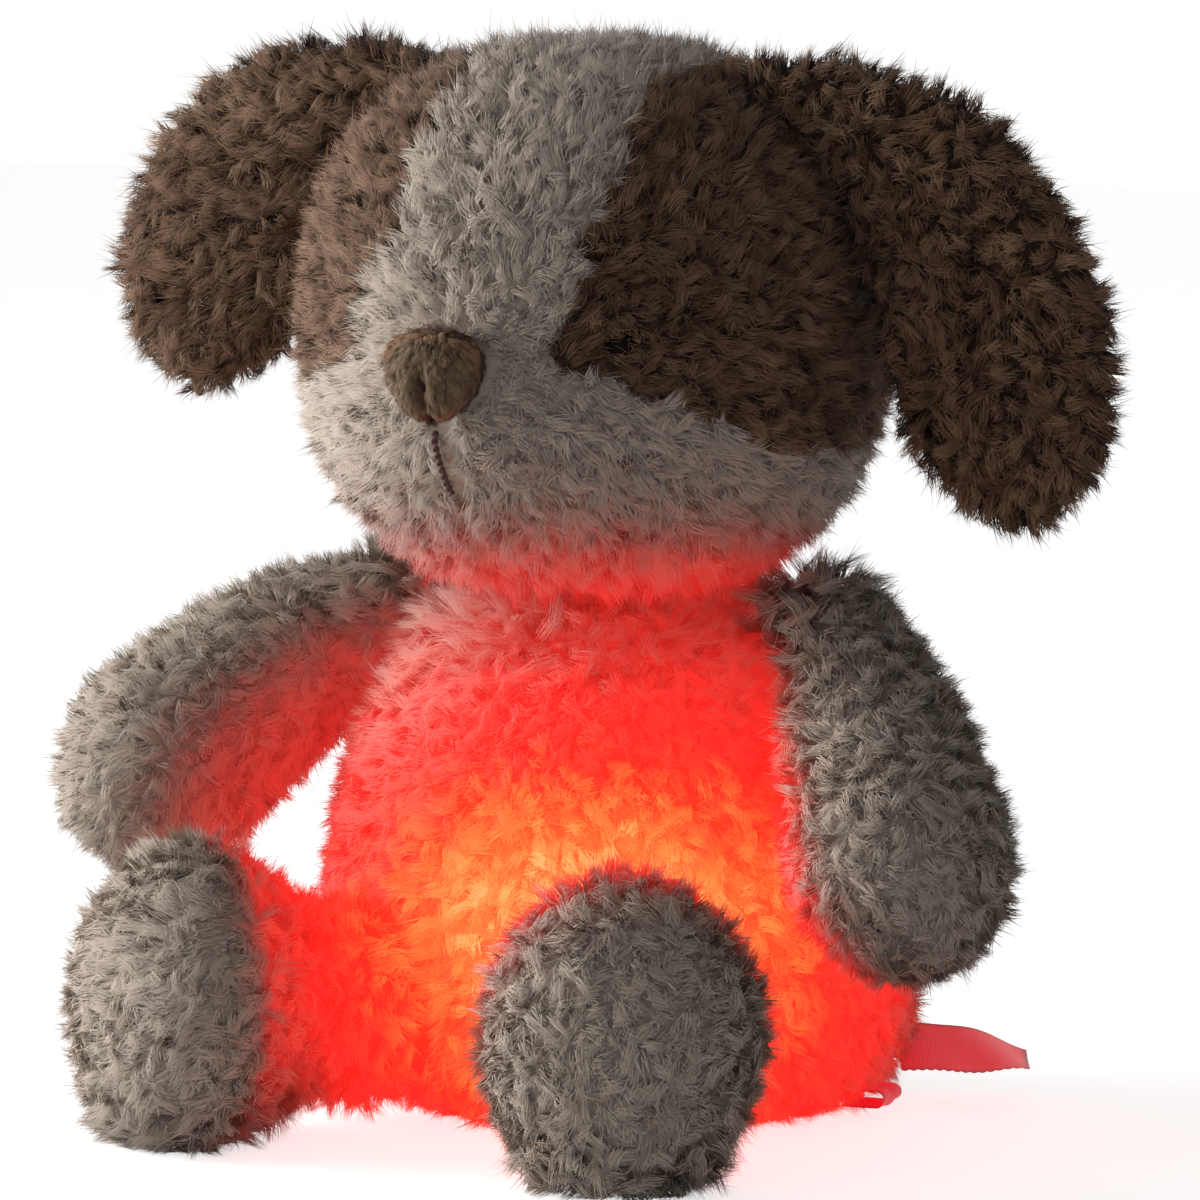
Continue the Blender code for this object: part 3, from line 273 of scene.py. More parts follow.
def makeGrainFinish(name, light, dark, scale, rough, change, depth, **more):
    # one grain drives colour, roughness and relief
    finish = Finish(name)
    grain = finish.noise(scale, 3.0)
    return finish.surface(
        Base_Color=finish.mix(grain, linear(*light), linear(*dark)), Roughness=rough + grain * change,
        Normal=finish.bump(grain, depth), **more)


def makeSatinFinish():
    # woven ribbon: fine ribs across it, and light from the belly behind
    finish = Finish("label_satin")
    place = finish.add("ShaderNodeUVMap", {"uv_map": "ribbon"})
    ribs = finish.add("ShaderNodeTexWave", {"wave_type": "BANDS", "bands_direction": "X"}, {
        "Vector": place, "Scale": 32.0, "Distortion": 0.4}, "Fac")
    hem = finish.attribute("hem")
    base = finish.mix(ribs * 0.35, linear(214, 40, 48), linear(168, 18, 30))
    base = finish.mix(hem * 0.7, base, linear(110, 12, 20))
    light = finish.mix(hem * 0.75 + ribs * 0.1, (0.46, 0.003, 0.010, 1), (0.06, 0.001, 0.002, 1))
    return finish.surface(
        Base_Color=base, Roughness=0.32 + ribs * 0.2, Emission_Color=light, Emission_Strength=1.0,
        Anisotropic=0.4, Sheen_Weight=0.15, Normal=finish.bump(ribs, 0.00008))


def makeWovenFinish(name, light, dark, scale, depth, rough):
    finish = Finish(name)
    place = finish.add("ShaderNodeTexCoord", output="Object")
    warp = finish.add("ShaderNodeTexWave", {"bands_direction": "DIAGONAL"}, {
        "Vector": place, "Scale": scale, "Distortion": 1.2}, "Fac")
    weave = warp * 0.6 + finish.noise(scale * 2.5, 2.0) * 0.4
    return finish.surface(
        Base_Color=finish.mix(weave, linear(*light), linear(*dark)), Roughness=rough + weave * 0.1,
        Sheen_Weight=0.2, Normal=finish.bump(weave, depth))


def makeMouldedFinish(name, light, dark, rough, grain=700.0, coat=0.0, metal=0.0, depth=0.00006):
    # moulded or plated pieces: fine grain, with wider marks of handling
    finish = Finish(name)
    fine = finish.noise(grain, 2.0)
    wide = finish.noise(60.0, 4.0)
    base = finish.mix(wide * 0.6 + fine * 0.2, linear(*light), linear(*dark))
    return finish.surface(
        Base_Color=base, Roughness=rough + wide * 0.12 - fine * 0.05, Metallic=metal, Coat_Weight=coat,
        Normal=finish.bump(fine, depth))


def makeDomeFinish():
    finish = Finish("frosted_dome")
    frost = finish.noise(1200.0, 3.0)
    return finish.surface(
        Base_Color=finish.mix(frost, linear(238, 230, 222), linear(222, 210, 200)),
        Emission_Color=finish.mix(frost * 0.3, (0.95, 0.62, 0.36, 1), (0.90, 0.46, 0.20, 1)),
        Roughness=0.45 + frost * 0.2, Emission_Strength=0.7, Normal=finish.bump(frost, 0.00005))


def makeLensFinish():
    finish = Finish("lamp_lens")
    cloud = finish.noise(900.0, 2.0)
    return finish.surface(
        Base_Color=finish.mix(cloud, linear(244, 228, 190), linear(230, 206, 160)),
        Emission_Color=finish.mix(cloud, (1.0, 0.72, 0.42, 1), (1.0, 0.55, 0.25, 1)),
        Roughness=0.12 + cloud * 0.1, Emission_Strength=1.0)


def makeCellFinish():
    # a printed sleeve, bare of words: two plain bands and a bright cap
    finish = Finish("cell_sleeve")
    place = finish.add("ShaderNodeTexCoord", output="Object")
    across = finish.add("ShaderNodeSeparateXYZ", {}, {0: place}, "X")
    band = finish.add("ShaderNodeMath", {"operation": "GREATER_THAN"}, {0: across, 1: 0.012})
    scuff = finish.noise(400.0, 3.0)
    base = finish.mix(band, linear(52, 56, 60), linear(176, 118, 62))
    base = finish.mix(scuff * 0.25, base, linear(150, 150, 148))
    return finish.surface(
        Base_Color=base, Roughness=0.25 + scuff * 0.2, Coat_Weight=0.4, Normal=finish.bump(scuff, 0.00003))


pileFinish = makePileFinish()
clothFinish = makeClothFinish()
noseFinish = makeNoseFinish()
threadFinish = makeGrainFinish(
    "mouth_thread", (92, 44, 32), (46, 20, 16), 2600.0, 0.5, 0.3, 0.0002, Sheen_Weight=0.2)
beadFinish = makeGrainFinish(
    "eye_bead", (14, 10, 8), (30, 21, 16), 500.0, 0.30, 0.10, 0.00002, Specular_IOR_Level=0.03)
satinFinish = makeSatinFinish()
pipingFinish = makeWovenFinish("hem_tape", (176, 158, 142), (128, 108, 92), 900.0, 0.0002, 0.75)
linerFinish = makeWovenFinish("liner_mesh", (214, 206, 196), (150, 140, 130), 1400.0, 0.0003, 0.7)
print("finishes are ready")


# Mesh helpers

def numbers(collection, name, width, kind=np.float32):
    found = np.empty(len(collection) * width, kind)
    collection.foreach_get(name, found)
    return found.reshape(-1, width) if width > 1 else found


def placesOf(piece):
    return numbers(piece.data.vertices, "co", 3).astype(float)


def normalsOf(piece):
    return numbers(piece.data.vertices, "normal", 3).astype(float)


def movePlaces(piece, places):
    piece.data.vertices.foreach_set("co", places.astype(np.float32).ravel())
    piece.data.update()


def setShare(mesh, name, values):
    layer = mesh.attributes.new(name, "FLOAT", "POINT")
    layer.data.foreach_set("value", np.asarray(values, np.float32))


def placed(name, data):
    holder = bpy.data.objects.new(name, data)
    scene.collection.objects.link(holder)
    return holder


def makePiece(name, places, faces, finish):
    mesh = bpy.data.meshes.new(name)
    mesh.from_pydata([tuple(p) for p in places], [], faces)
    mesh.validate()
    mesh.polygons.foreach_set("use_smooth", [True] * len(mesh.polygons))
    mesh.materials.append(finish)
    return placed(name, mesh)


def applied(piece):
    # the piece's mesh as its modifiers leave it
    graph = bpy.context.evaluated_depsgraph_get()
    made = bpy.data.meshes.new_from_object(piece.evaluated_get(graph))
    piece.modifiers.clear()
    piece.data = made
    return piece


def gridFaces(rows, columns, closed, ring=False):
    # quads between rows of points, wrapped round when closed, and end to end for a ring
    faces = []
    for row in range(rows if ring else rows - 1):
        first = row * columns
        above = (row + 1) % rows * columns
        for column in range(columns if closed else columns - 1):
            after = (column + 1) % columns
            faces.append((first + column, first + after, above + after, above + column))
    return faces


def tubeFaces(rows, columns):
    # a tube with both its ends closed
    last = (rows - 1) * columns
    ends = [tuple(reversed(range(columns))), tuple(range(last, last + columns))]
    return gridFaces(rows, columns, True) + ends


def around(centre, level, upright, radius, sides):
    # a ring of points; its radius is one number, or one for each point
    turns = fullTurn * np.arange(sides) / sides
    spread = np.outer(np.cos(turns), level) + np.outer(np.sin(turns), upright)
    return list(centre + spread * np.reshape(radius, (-1, 1)))


def merged(meshes):
    # the points and faces of several meshes, and how many faces each one has
    places = []
    faces = []
    for mesh in meshes:
        first = len(places)
        places += [tuple(v.co) for v in mesh.vertices]
        faces += [tuple(first + v for v in face.vertices) for face in mesh.polygons]
    return places, faces, [len(mesh.polygons) for mesh in meshes]


def joinPieces(name, parts):
    # several parts as one piece, each part with its own material slot
    places, faces, counts = merged([part.data for part in parts])
    piece = makePiece(name, places, faces, parts[0].data.materials[0])
    for part in parts[1:]:
        piece.data.materials.append(part.data.materials[0])
    piece.data.polygons.foreach_set("material_index", np.repeat(np.arange(len(parts)), counts))
    for part in parts:
        bpy.data.objects.remove(part)
    return piece


def glowAt(places, name):
    far = glowLight["far"] if name == "torso" else glowLight["farOutside"]
    rel = places - np.array(glowLight["centre"])
    rel[:, 2] *= np.where(rel[:, 2] > 0, glowLight["upward"], 1.0)
    away = np.linalg.norm(rel, axis=1)
    share = np.clip((far - away) / (far - glowLight["near"]), 0.0, 1.0)
    return share * (1 - glowLight["caseShade"] * rising(places[:, 1], *glowLight["shade"]))


def glowShare(name, places, normals):
    # the torso glows from inside, the other forms only on the side that faces it
    if name == "torso":
        return np.ones(len(places))
    way = np.array(glowLight["centre"]) - places
    close = falling(np.linalg.norm(way, axis=1), *glowLight["closeBy"]) * name.endswith("leg")
    facing = ease(glowLight["edgeOn"] + glowLight["facing"] * (unit(way) * normals).sum(1))
    return np.maximum(close, facing * glowLight["takes"].get(name, 1.0))


def settle(piece, body, node=None):
    # the piece rides its body, and stands for a solid where one is named
    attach(piece, body)
    if node:
        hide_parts(node)


# Stuffed cloth forms

stuffing = {
    "voxel": 0.0036,
    "inset": 0.0018,  # the backing starts this far inside the solid
    "earInset": 0.0016,
    "pressure": 4.0,
    "cap": 0.0045,  # how far a point may move when it fills out
    "steps": 20,
    "seamPull": 0.0012,
    "seamWidth": 0.0035,
    "earInner": 0.8,  # no seam runs over this much of an ear
    "earOff": 0.004,
    "overFloor": 0.0012,
}


def seamShare(places, name):
    # near 1 along the seam lines of a cloth form
    if name in ("torso", "head"):
        away = np.abs(places[:, 0])
    else:
        away = np.abs(places[:, 1] - middle(name)[1])
    if name.endswith("ear"):
        low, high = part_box(name)
        out = np.abs(places - middle(name)) / np.array((high - low) / 2)
        inner = np.sqrt(out[:, 0] ** 2 + out[:, 2] ** 2) < stuffing["earInner"]
        away = away + stuffing["earOff"] * inner
    return ease(1 - away / stuffing["seamWidth"])


def makeCloth(name):
    piece = placed(name + "_cloth", nodes[name].data.copy())
    remesh = piece.modifiers.new("remesh", "REMESH")
    remesh.mode = "VOXEL"
    remesh.voxel_size = stuffing["voxel"]
    soften = piece.modifiers.new("soften", "SMOOTH")
    soften.factor = 0.5
    soften.iterations = 2 if name.endswith("ear") else 4
    applied(piece)
    piece.data.materials.clear()
    piece.data.materials.append(clothFinish)
    inset = stuffing["earInset"] if name.endswith("ear") else stuffing["inset"]
    movePlaces(piece, placesOf(piece) - normalsOf(piece) * inset)
    return piece


def fillCloth(pieces):
    # one simulation fills all the cloth forms with their stuffing
    starts = {}
    for name, piece in pieces.items():
        starts[name] = placesOf(piece)
        seams = piece.vertex_groups.new(name="seams")
        for index, share in enumerate(seamShare(starts[name], name)):
            seams.add([index], float(share), "REPLACE")
        cloth = piece.modifiers.new("filling", "CLOTH")
        cloth.settings.use_pressure = True
        cloth.settings.uniform_pressure_force = stuffing["pressure"]
        cloth.settings.effector_weights.gravity = 0.0
        cloth.settings.vertex_group_mass = "seams"
        cloth.settings.quality = 5
        cloth.collision_settings.use_collision = False
        cloth.point_cache.frame_start = 1
        cloth.point_cache.frame_end = stuffing["steps"]
    for step in range(1, stuffing["steps"] + 1):
        scene.frame_set(step)
    for name, piece in pieces.items():
        applied(piece)
        move = placesOf(piece) - starts[name]
        size = np.linalg.norm(move, axis=1, keepdims=True)
        movePlaces(piece, starts[name] + move * np.minimum(1.0, stuffing["cap"] / np.maximum(size, 1e-9)))
        piece.vertex_groups.clear()
    scene.frame_set(1)


def finishCloth(name, piece, tint):
    piece.modifiers.new("finer", "SUBSURF").levels = 1
    applied(piece)
    places = placesOf(piece)
    places = places - normalsOf(piece) * (seamShare(places, name) * stuffing["seamPull"])[:, None]
    places[:, 2] = np.maximum(places[:, 2], stuffing["overFloor"])
    movePlaces(piece, places)
    piece.data.polygons.foreach_set("use_smooth", [True] * len(piece.data.polygons))
    setShare(piece.data, "patch", tint(places))
    setShare(piece.data, "glow", glowAt(places, name) * glowShare(name, places, normalsOf(piece)))
    return piece


# Where the brown patches lie

facePatch = {
    "lowerEdge": -0.0095,
    "lowest": -0.0260,
    "blazeEnd": 0.0480,  # the blaze closes this far behind the middle of the head
    "over": 0.030,
    "wave": 0.0011,
    "ripple": 0.0008,
    # the edge of each patch from the middle of the face; the blaze widens below the height given
    "left": {"side": 1, "edge": 0.0278, "widen": -0.0046, "below": 0.026, "fall": 0.65, "fallFrom": 0.030},
    "right": {"side": -1, "edge": 0.0160, "widen": 0.0090, "below": 0.022, "fall": 0.22, "fallFrom": 0.025},
}


def headTint(places):
    facts = facePatch
    rel = places - headCentre
    height = rel[:, 2]
    close = np.clip(1 - np.maximum(rel[:, 1], 0.0) / facts["blazeEnd"], 0.0, 1.0)
    wave = facts["wave"] * np.sin(height * 260) + facts["ripple"] * np.sin(height * 610 + 1.0)
    brown = np.zeros(len(places))
    for patch in (facts["left"], facts["right"]):
        across = patch["side"] * rel[:, 0]
        edge = patch["edge"] + patch["widen"] * falling(height, patch["below"], facts["over"])
        low = facts["lowerEdge"] - patch["fall"] * np.maximum(across - patch["fallFrom"], 0.0)
        low = np.maximum(low, facts["lowest"]) + wave
        brown[(across > edge * close + wave) & (height > low)] = 1.0
    return brown


def everywhere(places):
    return np.ones(len(places))


def nowhere(places):
    return np.zeros(len(places))


# Which way the pile is brushed, and where it is trimmed

faceTrim = {
    "noseWide": 0.0108,  # bare where the nose pad sits
    "noseTall": 0.0078,
    "eyeClear": 0.0020,
    "eyeShort": 0.0110,
    "eyeShare": 0.55,
    "mouthClear": 0.0014,
    "muzzleReach": 0.034,
    "muzzleShare": 0.60,
    "chinHigh": 0.014,  # longer below the chin, to the neck
    "chinOver": 0.010,
    "chinMore": 0.7,
    "down": 0.25,  # brushed a little down, from the cheeks on
    "cheeks": (0.010, 0.030),
}


def fromNose(places):
    way = unit(places - noseSpot)
    way[:, 2] -= faceTrim["down"] * falling((places - headCentre)[:, 2], *faceTrim["cheeks"])
    return way


pocketTrim = {
    "sideways": 0.35,  # how much the torso's pile lies outward, against down
    "back": 0.045,  # the back of the torso starts here
    "brush": 0.034,  # the pile is brushed away from the mouth from here
    "brushOver": 0.022,
    "brushPull": 60.0,
    "clear": 0.0395,  # bare round the mouth
    "short": (0.038, 0.016),
    "shortest": 0.35,
    "inside": 0.005,  # no pile grows in the pocket, or this close to its liner
    "edge": 0.006,
    "neck": (0.094, 0.012),  # longer at the neck
    "neckMore": 1.4,
}


def downBody(places):
    way = np.zeros_like(places)
    way[:, 2] = -1.0
    way[:, 0] = pocketTrim["sideways"] * np.sign(places[:, 0])
    fromPocket = places - unitSpot
    away = np.hypot(fromPocket[:, 0], fromPocket[:, 2])
    near = ease(1 - (away - pocketTrim["brush"]) / pocketTrim["brushOver"])
    near *= places[:, 1] > pocketTrim["back"]
    way += fromPocket * np.array((1, 0, 1)) * pocketTrim["brushPull"] * near[:, None]
    return way


def pivotOf(node):
    return np.array([joint["pos_m"] for joint in frame["joints"] if joint["child"] == node][0])


def fromPivot(node, drop):
    # away from the joint, and a little down
    pivot = pivotOf(node)

    def way(places):
        out = unit(places - pivot)
        out[:, 2] -= drop
        return out
    return way


limbTrim = {
    "pawReach": 0.6,  # how far past the arm's middle its paw is
    "spread": 0.3,
    "armInner": (0.064, 0.012),  # longer where the arm meets the neck
    "armHigh": (0.100, 0.010),
    "armMore": 1.1,
    "legLow": (0.016, 0.012),  # longer where the leg meets the floor
    "legMore": 0.7,
}


def alongArm(node):
    pivot = pivotOf(node)
    paw = middle(node) + (middle(node) - pivot) * limbTrim["pawReach"]

    def way(places):
        return unit(paw - pivot) + limbTrim["spread"] * unit(places - pivot)
    return way


def headTrim(places):
    facts = faceTrim
    rel = places - noseSpot
    across = np.hypot(rel[:, 0] / facts["noseWide"], rel[:, 2] / facts["noseTall"])
    front = places[:, 1] < headCentre[1]
    grown = ease(np.linalg.norm(rel, axis=1) / facts["muzzleReach"])
    share = facts["muzzleShare"] + (1 - facts["muzzleShare"]) * grown
    share *= 1 + facts["chinMore"] * ease((headLow.z + facts["chinHigh"] - places[:, 2]) / facts["chinOver"])
    share[(across < 1.0) & front] = 0.0
    for eye in ("left_eye", "right_eye"):
        away = np.linalg.norm(places - middle(eye), axis=1)
        share *= facts["eyeShare"] + (1 - facts["eyeShare"]) * ease(away / facts["eyeShort"])
        share[away < facts["eyeClear"]] = 0.0
    line = (np.abs(rel[:, 0]) < facts["mouthClear"]) & (places[:, 2] > stitchLow.z - 0.001) & front
    share[line & (places[:, 2] < noseSpot[2])] = 0.0
    return share


def torsoTrim(places):
    facts = pocketTrim
    rel = places - unitSpot
    away = np.hypot(rel[:, 0], rel[:, 2])
    share = 1 + facts["neckMore"] * rising(places[:, 2], *facts["neck"])
    back = places[:, 1] > facts["back"]
    grown = rising(away[back], *facts["short"])
    share[back] *= facts["shortest"] + (1 - facts["shortest"]) * grown
    share[back & (away < facts["clear"])] = 0.0
    reach = (linerHigh.x - linerLow.x) / 2 + facts["inside"]
    deep = (places[:, 1] > linerLow.y - facts["inside"]) & (places[:, 1] < linerHigh.y - facts["edge"])
    share[(away < reach) & deep] = 0.0
    return share


def armTrim(places):
    inner = falling(np.abs(places[:, 0]), *limbTrim["armInner"])
    high = rising(places[:, 2], *limbTrim["armHigh"])
    return 1 + limbTrim["armMore"] * inner * high


def legTrim(places):
    return 1 + limbTrim["legMore"] * falling(places[:, 2], *limbTrim["legLow"])


# Plush pile

pile = {
    "spacing": 0.0019,  # between locks
    "perArea": 4.8e6,  # fibres per square metre
    "length": 0.0056,
    "rise": 0.62,  # how much a lock stands up, against how much it lies over
    "lay": 0.50,
    "scatter": 0.58,
    "gather": 0.40,  # how far the fibres of a lock meet at its tip
    "curl": 0.0010,
    "turns": 0.85,  # of the curl, from root to tip
    "lift": 0.46,  # the middle of a fibre stands off the cloth by this much of its length
    "swirl": 0.20,
    "twist": 0.28,
    "width": 0.00024,
    "levels": (0.0, 0.52, 1.0),
    "widths": (1.0, 0.80, 0.0),
    "strayShare": 0.24,
    "stray": 0.0016,
    "fray": 0.0005,
    "smoothness": 0.84,  # how much the light follows the form and not the fibre
    "roundness": 0.22,
    "mostFibres": 66000,  # in one piece
    "reach": 0.016,  # walls farther off than this don't matter
    "step": 0.0002,
    "least": 0.0050,  # no lock grows with less room than this
    "shortest": 0.0008,
    "overFloor": 0.0003,
    "flat": 0.9,  # how much less it points down near the floor
    "floorNear": (0.012, 0.010),
}


def surfaceSpots(piece, count, chance):
    mesh = piece.data
    mesh.calc_loop_triangles()
    corners = numbers(mesh.loop_triangles, "vertices", 3, np.int32)
    places = placesOf(piece)
    normals = normalsOf(piece)
    a, b, c = places[corners[:, 0]], places[corners[:, 1]], places[corners[:, 2]]
    area = np.linalg.norm(np.cross(b - a, c - a), axis=1) / 2
    total = float(area.sum())
    count = int(count * total)
    chosen = chance.choice(len(corners), count, p=area / total)
    u = chance.random(count)
    v = chance.random(count)
    over = u + v > 1
    u[over] = 1 - u[over]
    v[over] = 1 - v[over]
    w = 1 - u - v
    shares = np.stack((w, u, v), 1)[:, :, None]
    spots = (places[corners[chosen]] * shares).sum(1)
    return spots, unit((normals[corners[chosen]] * shares).sum(1))


def treeOf(spots):
    tree = KDTree(len(spots))
    for index, spot in enumerate(spots):
        tree.insert(spot, index)
    tree.balance()
    return tree


def thinned(spots, spacing):
    # the spots that are left when none is nearer to another than the spacing
    tree = treeOf(spots)
    free = np.ones(len(spots), bool)
    kept = []
    for index in range(len(spots)):
        if free[index]:
            kept.append(index)
            for _, other, _ in tree.find_range(spots[index], spacing):
                free[other] = False
    return np.array(kept)


def wallTree(names):
    # one search tree of the solids that the pile must not grow into, its own solid first
    places, faces, counts = merged([nodes[name].data for name in names])
    return BVHTree.FromPolygons(places, faces), counts[0]


def roomAbove(spots, normals, walls):
    # how long a lock may be before it meets a wall; 0 inside another solid
    tree, ownFaces = walls
    room = np.full(len(spots), 1.0)
    for index in range(len(spots)):
        way = Vector(normals[index])
        gone = pile["step"]
        while gone < pile["reach"]:
            hit = tree.ray_cast(Vector(spots[index]) + way * gone, way, pile["reach"] - gone)
            if hit[0] is None:
                break
            gone += hit[3] + pile["step"]
            if hit[1].dot(way) < 0:
                room[index] = gone
                break
            if hit[2] >= ownFaces:
                room[index] = 0.0
                break
    return room


def makeFibres(roots, normals, lock, style, chance):
    # the points of every fibre: levels x fibres x 3
    count = len(roots)
    own = roots - lock["root"]
    length = lock["length"][:, None] * (0.80 + 0.20 * chance.random((count, 1)))
    tip = lock["root"] + lock["way"] * length + own * (1 - style["gather"])
    stray = chance.random(count) < style["strayShare"]
    loose = chance.normal(0.0, 1.0, (count, 3))
    tip += loose * np.where(stray, style["stray"], style["fray"])[:, None]
    lift = normals * (length * style["lift"]) + own * 0.12
    bend = roots + lift + lock["swirl"] * (length * style["swirl"])
    side = unit(np.cross(lock["way"], lock["swirl"]))
    levels = []
    for at in style["levels"]:
        place = roots * (1 - at) ** 2 + bend * (2 * at * (1 - at)) + tip * at * at
        wave = sin(fullTurn * at * style["turns"]) * style["curl"]
        levels.append(place + side * (wave * lock["curl"])[:, None])
    return np.stack(levels)


def buildPilePiece(name, form, levels, normals, roots, shares, style, chance, finish):
    steps = len(style["levels"])
    count = levels.shape[1]
    across = unit(np.cross(levels[2] - levels[0], normals))
    turned = unit(across + normals * chance.normal(0.0, style["twist"], (count, 1)))
    wide = style["width"] / 2 * (0.75 + 0.5 * chance.random((count, 1)))
    perFibre = 2 * (steps - 1) + 1
    places = np.empty((count, perFibre, 3))
    facing = np.empty((count, perFibre, 3))
    centre = roots.mean(0)
    out = roots - centre
    mapU = np.arctan2(out[:, 0], -out[:, 1]) / fullTurn + 0.5
    mapV = np.arctan2(out[:, 2], np.hypot(out[:, 0], out[:, 1])) / pi + 0.5
    uv = np.empty((count, perFibre, 2))
    along = np.empty((count, perFibre))
    for level, (at, share) in enumerate(zip(style["levels"], style["widths"])):
        ahead = levels[min(level + 1, steps - 1)] - levels[max(level - 1, 0)]
        fibreNormal = unit(np.cross(turned, ahead))
        lean = normals * style["smoothness"] + fibreNormal * (1 - style["smoothness"])
        lean = unit(lean + shares["round"] * style["roundness"])
        if level == steps - 1:
            slots = ((perFibre - 1, 0.0),)
        else:
            slots = ((2 * level, -1.0), (2 * level + 1, 1.0))
        for slotNumber, side in slots:
            places[:, slotNumber] = levels[level] + turned * wide * (share * side)
            facing[:, slotNumber] = lean
            uv[:, slotNumber, 0] = mapU * 0.98 + 0.01 + side * 0.0008
            uv[:, slotNumber, 1] = mapV * 0.98 + 0.008 + at * 0.003
            along[:, slotNumber] = at
    places = places.reshape(-1, 3)
    places[:, 2] = np.maximum(places[:, 2], style["overFloor"])
    pattern = []
    starts = []
    for level in range(steps - 2):
        starts.append(len(pattern))
        pattern += [2 * level, 2 * level + 1, 2 * level + 3, 2 * level + 2]
    starts.append(len(pattern))
    pattern += [perFibre - 3, perFibre - 2, perFibre - 1]
    corners = (np.array(pattern)[None, :] + perFibre * np.arange(count)[:, None]).ravel()
    faceStarts = (np.array(starts)[None, :] + len(pattern) * np.arange(count)[:, None]).ravel()
    mesh = bpy.data.meshes.new(name)
    mesh.vertices.add(len(places))
    mesh.vertices.foreach_set("co", places.astype(np.float32).ravel())
    mesh.loops.add(len(corners))
    mesh.loops.foreach_set("vertex_index", corners.astype(np.int32))
    mesh.polygons.add(len(faceStarts))
    mesh.polygons.foreach_set("loop_start", faceStarts.astype(np.int32))
    mesh.polygons.foreach_set("use_smooth", np.ones(len(faceStarts), bool))
    mesh.update(calc_edges=True)
    layer = mesh.uv_layers.new(name="OFBake", do_init=False)
    layer.uv.foreach_set("vector", uv.reshape(-1, 2)[corners].astype(np.float32).ravel())
    setShare(mesh, "along", along.ravel())
    setShare(mesh, "patch", np.repeat(shares["patch"], perFibre))
    setShare(mesh, "tone", np.repeat(shares["tone"], perFibre))
    setShare(mesh, "glow", glowAt(places, form) * np.repeat(shares["facing"], perFibre))
    mesh.normals_split_custom_set_from_vertices(unit(facing.reshape(-1, 3)).tolist())
    mesh.materials.append(finish)
    return placed(name, mesh)


def growPile(name, cloth, comb, trim, tint, walls, seed, changes=None, finish=None):
    style = dict(pile)
    style.update(changes or {})
    chance = np.random.default_rng(seed)
    spots, outward = surfaceSpots(cloth, 3.2 / style["spacing"] ** 2, chance)
    kept = thinned(spots, style["spacing"])
    spots, outward = spots[kept], outward[kept]
    room = roomAbove(spots, outward, walls)
    flow = comb(spots)
    flow = unit(flow - outward * (flow * outward).sum(1, keepdims=True))
    random = chance.normal(0.0, 1.0, spots.shape)
    way = outward * style["rise"] + flow * style["lay"] + unit(random) * style["scatter"]
    below = falling(spots[:, 2], *style["floorNear"])
    way[:, 2] = np.where(way[:, 2] < 0, way[:, 2] * (1 - style["flat"] * below), way[:, 2])
    length = style["length"] * (0.78 + 0.44 * chance.random(len(spots)))
    length = np.minimum(length * trim(spots), room * 0.9)
    length[(room < style["least"]) | (length < style["shortest"])] = 0.0
    swirl = unit(np.cross(way, chance.normal(0.0, 1.0, spots.shape)))
    tone = chance.random(len(spots))
    curl = 0.5 + chance.random(len(spots))
    tree = treeOf(spots)
    roots, normals = surfaceSpots(cloth, style["perArea"], chance)
    owner = np.array([tree.find(root)[1] for root in roots])
    shown = (length[owner] > 0) & (trim(roots) > 0)
    roots, normals, owner = roots[shown], normals[shown], owner[shown]
    lock = {
        "root": spots, "way": unit(way), "length": length, "swirl": swirl,
        "curl": curl * np.minimum(1.0, length / 0.007),
    }
    lock = {key: value[owner] for key, value in lock.items()}
    levels = makeFibres(roots, normals, lock, style, chance)
    shares = {
        "patch": tint(roots),
        "facing": glowShare(name, roots, normals),
        "tone": np.clip(tone[owner] * 0.7 + chance.random(len(roots)) * 0.3, 0, 1),
        "round": np.clip((roots - spots[owner]) / style["spacing"], -1, 1),
    }
    parts = max(1, ceil(len(roots) / style["mostFibres"]))
    order = np.argsort(roots[:, 1])
    pieces = []
    for number, chosen in enumerate(np.array_split(order, parts)):
        picked = {key: value[chosen] for key, value in shares.items()}
        pieces.append(buildPilePiece(
            f"{name}_pile_{number + 1}", name, levels[:, chosen], normals[chosen], roots[chosen], picked,
            style, chance, finish or pileFinish))
    print(name, "pile:", len(roots), "fibres in", parts, "pieces")
    return pieces


# Every soft form: its brush, trim, colour, share of filling, seed and walls

softForms = {
    "head": (fromNose, headTrim, headTint, 0.85, 11, ("head", "torso")),
    "torso": (downBody, torsoTrim, nowhere, 0.75, 12,
              ("torso", "head", "left_arm", "right_arm", "left_leg", "right_leg", "rear_case")),
}
for side, number in (("left", 0), ("right", 1)):
    ear, arm, leg = side + "_ear", side + "_arm", side + "_leg"
    softForms[ear] = (fromPivot(ear, 0.25), everywhere, everywhere, 0.35, 20 + number, (ear, "head"))
    softForms[arm] = (alongArm(arm), armTrim, nowhere, 0.7, 30 + number, (arm, "torso"))
    softForms[leg] = (fromPivot(leg, 0.15), legTrim, nowhere, 0.8, 40 + number, (leg, "torso"))


def makeSoftForms():
    cloths = {name: makeCloth(name) for name in softForms}
    print("cloth forms are cut")
    fillCloth(cloths)
    print("cloth forms are filled")
    for name, (comb, trim, tint, fill, seed, walls) in softForms.items():
        cloth = finishCloth(name, cloths[name], tint)
        for piece in growPile(name, cloth, comb, trim, tint, wallTree(walls), seed):
            settle(piece, name)
        settle(cloth, name, name)


makeSoftForms()


# Face

nosePad = {
    "rows": 22,
    "columns": 40,
    "halfWidth": 0.0126,
    "halfHeight": 0.0086,
    "halfDepth": 0.0056,
    "taper": 0.42,
    "cleftDepth": 0.0022,
    "cleftWidth": 0.0014,
    "nostrilOut": 0.0055,
    "nostrilDepth": 0.0012,
    "nostrilWide": 0.0016,
    "nostrilTall": 0.0013,
    "backward": 0.0008,
    "tilt": radians(-5),
}


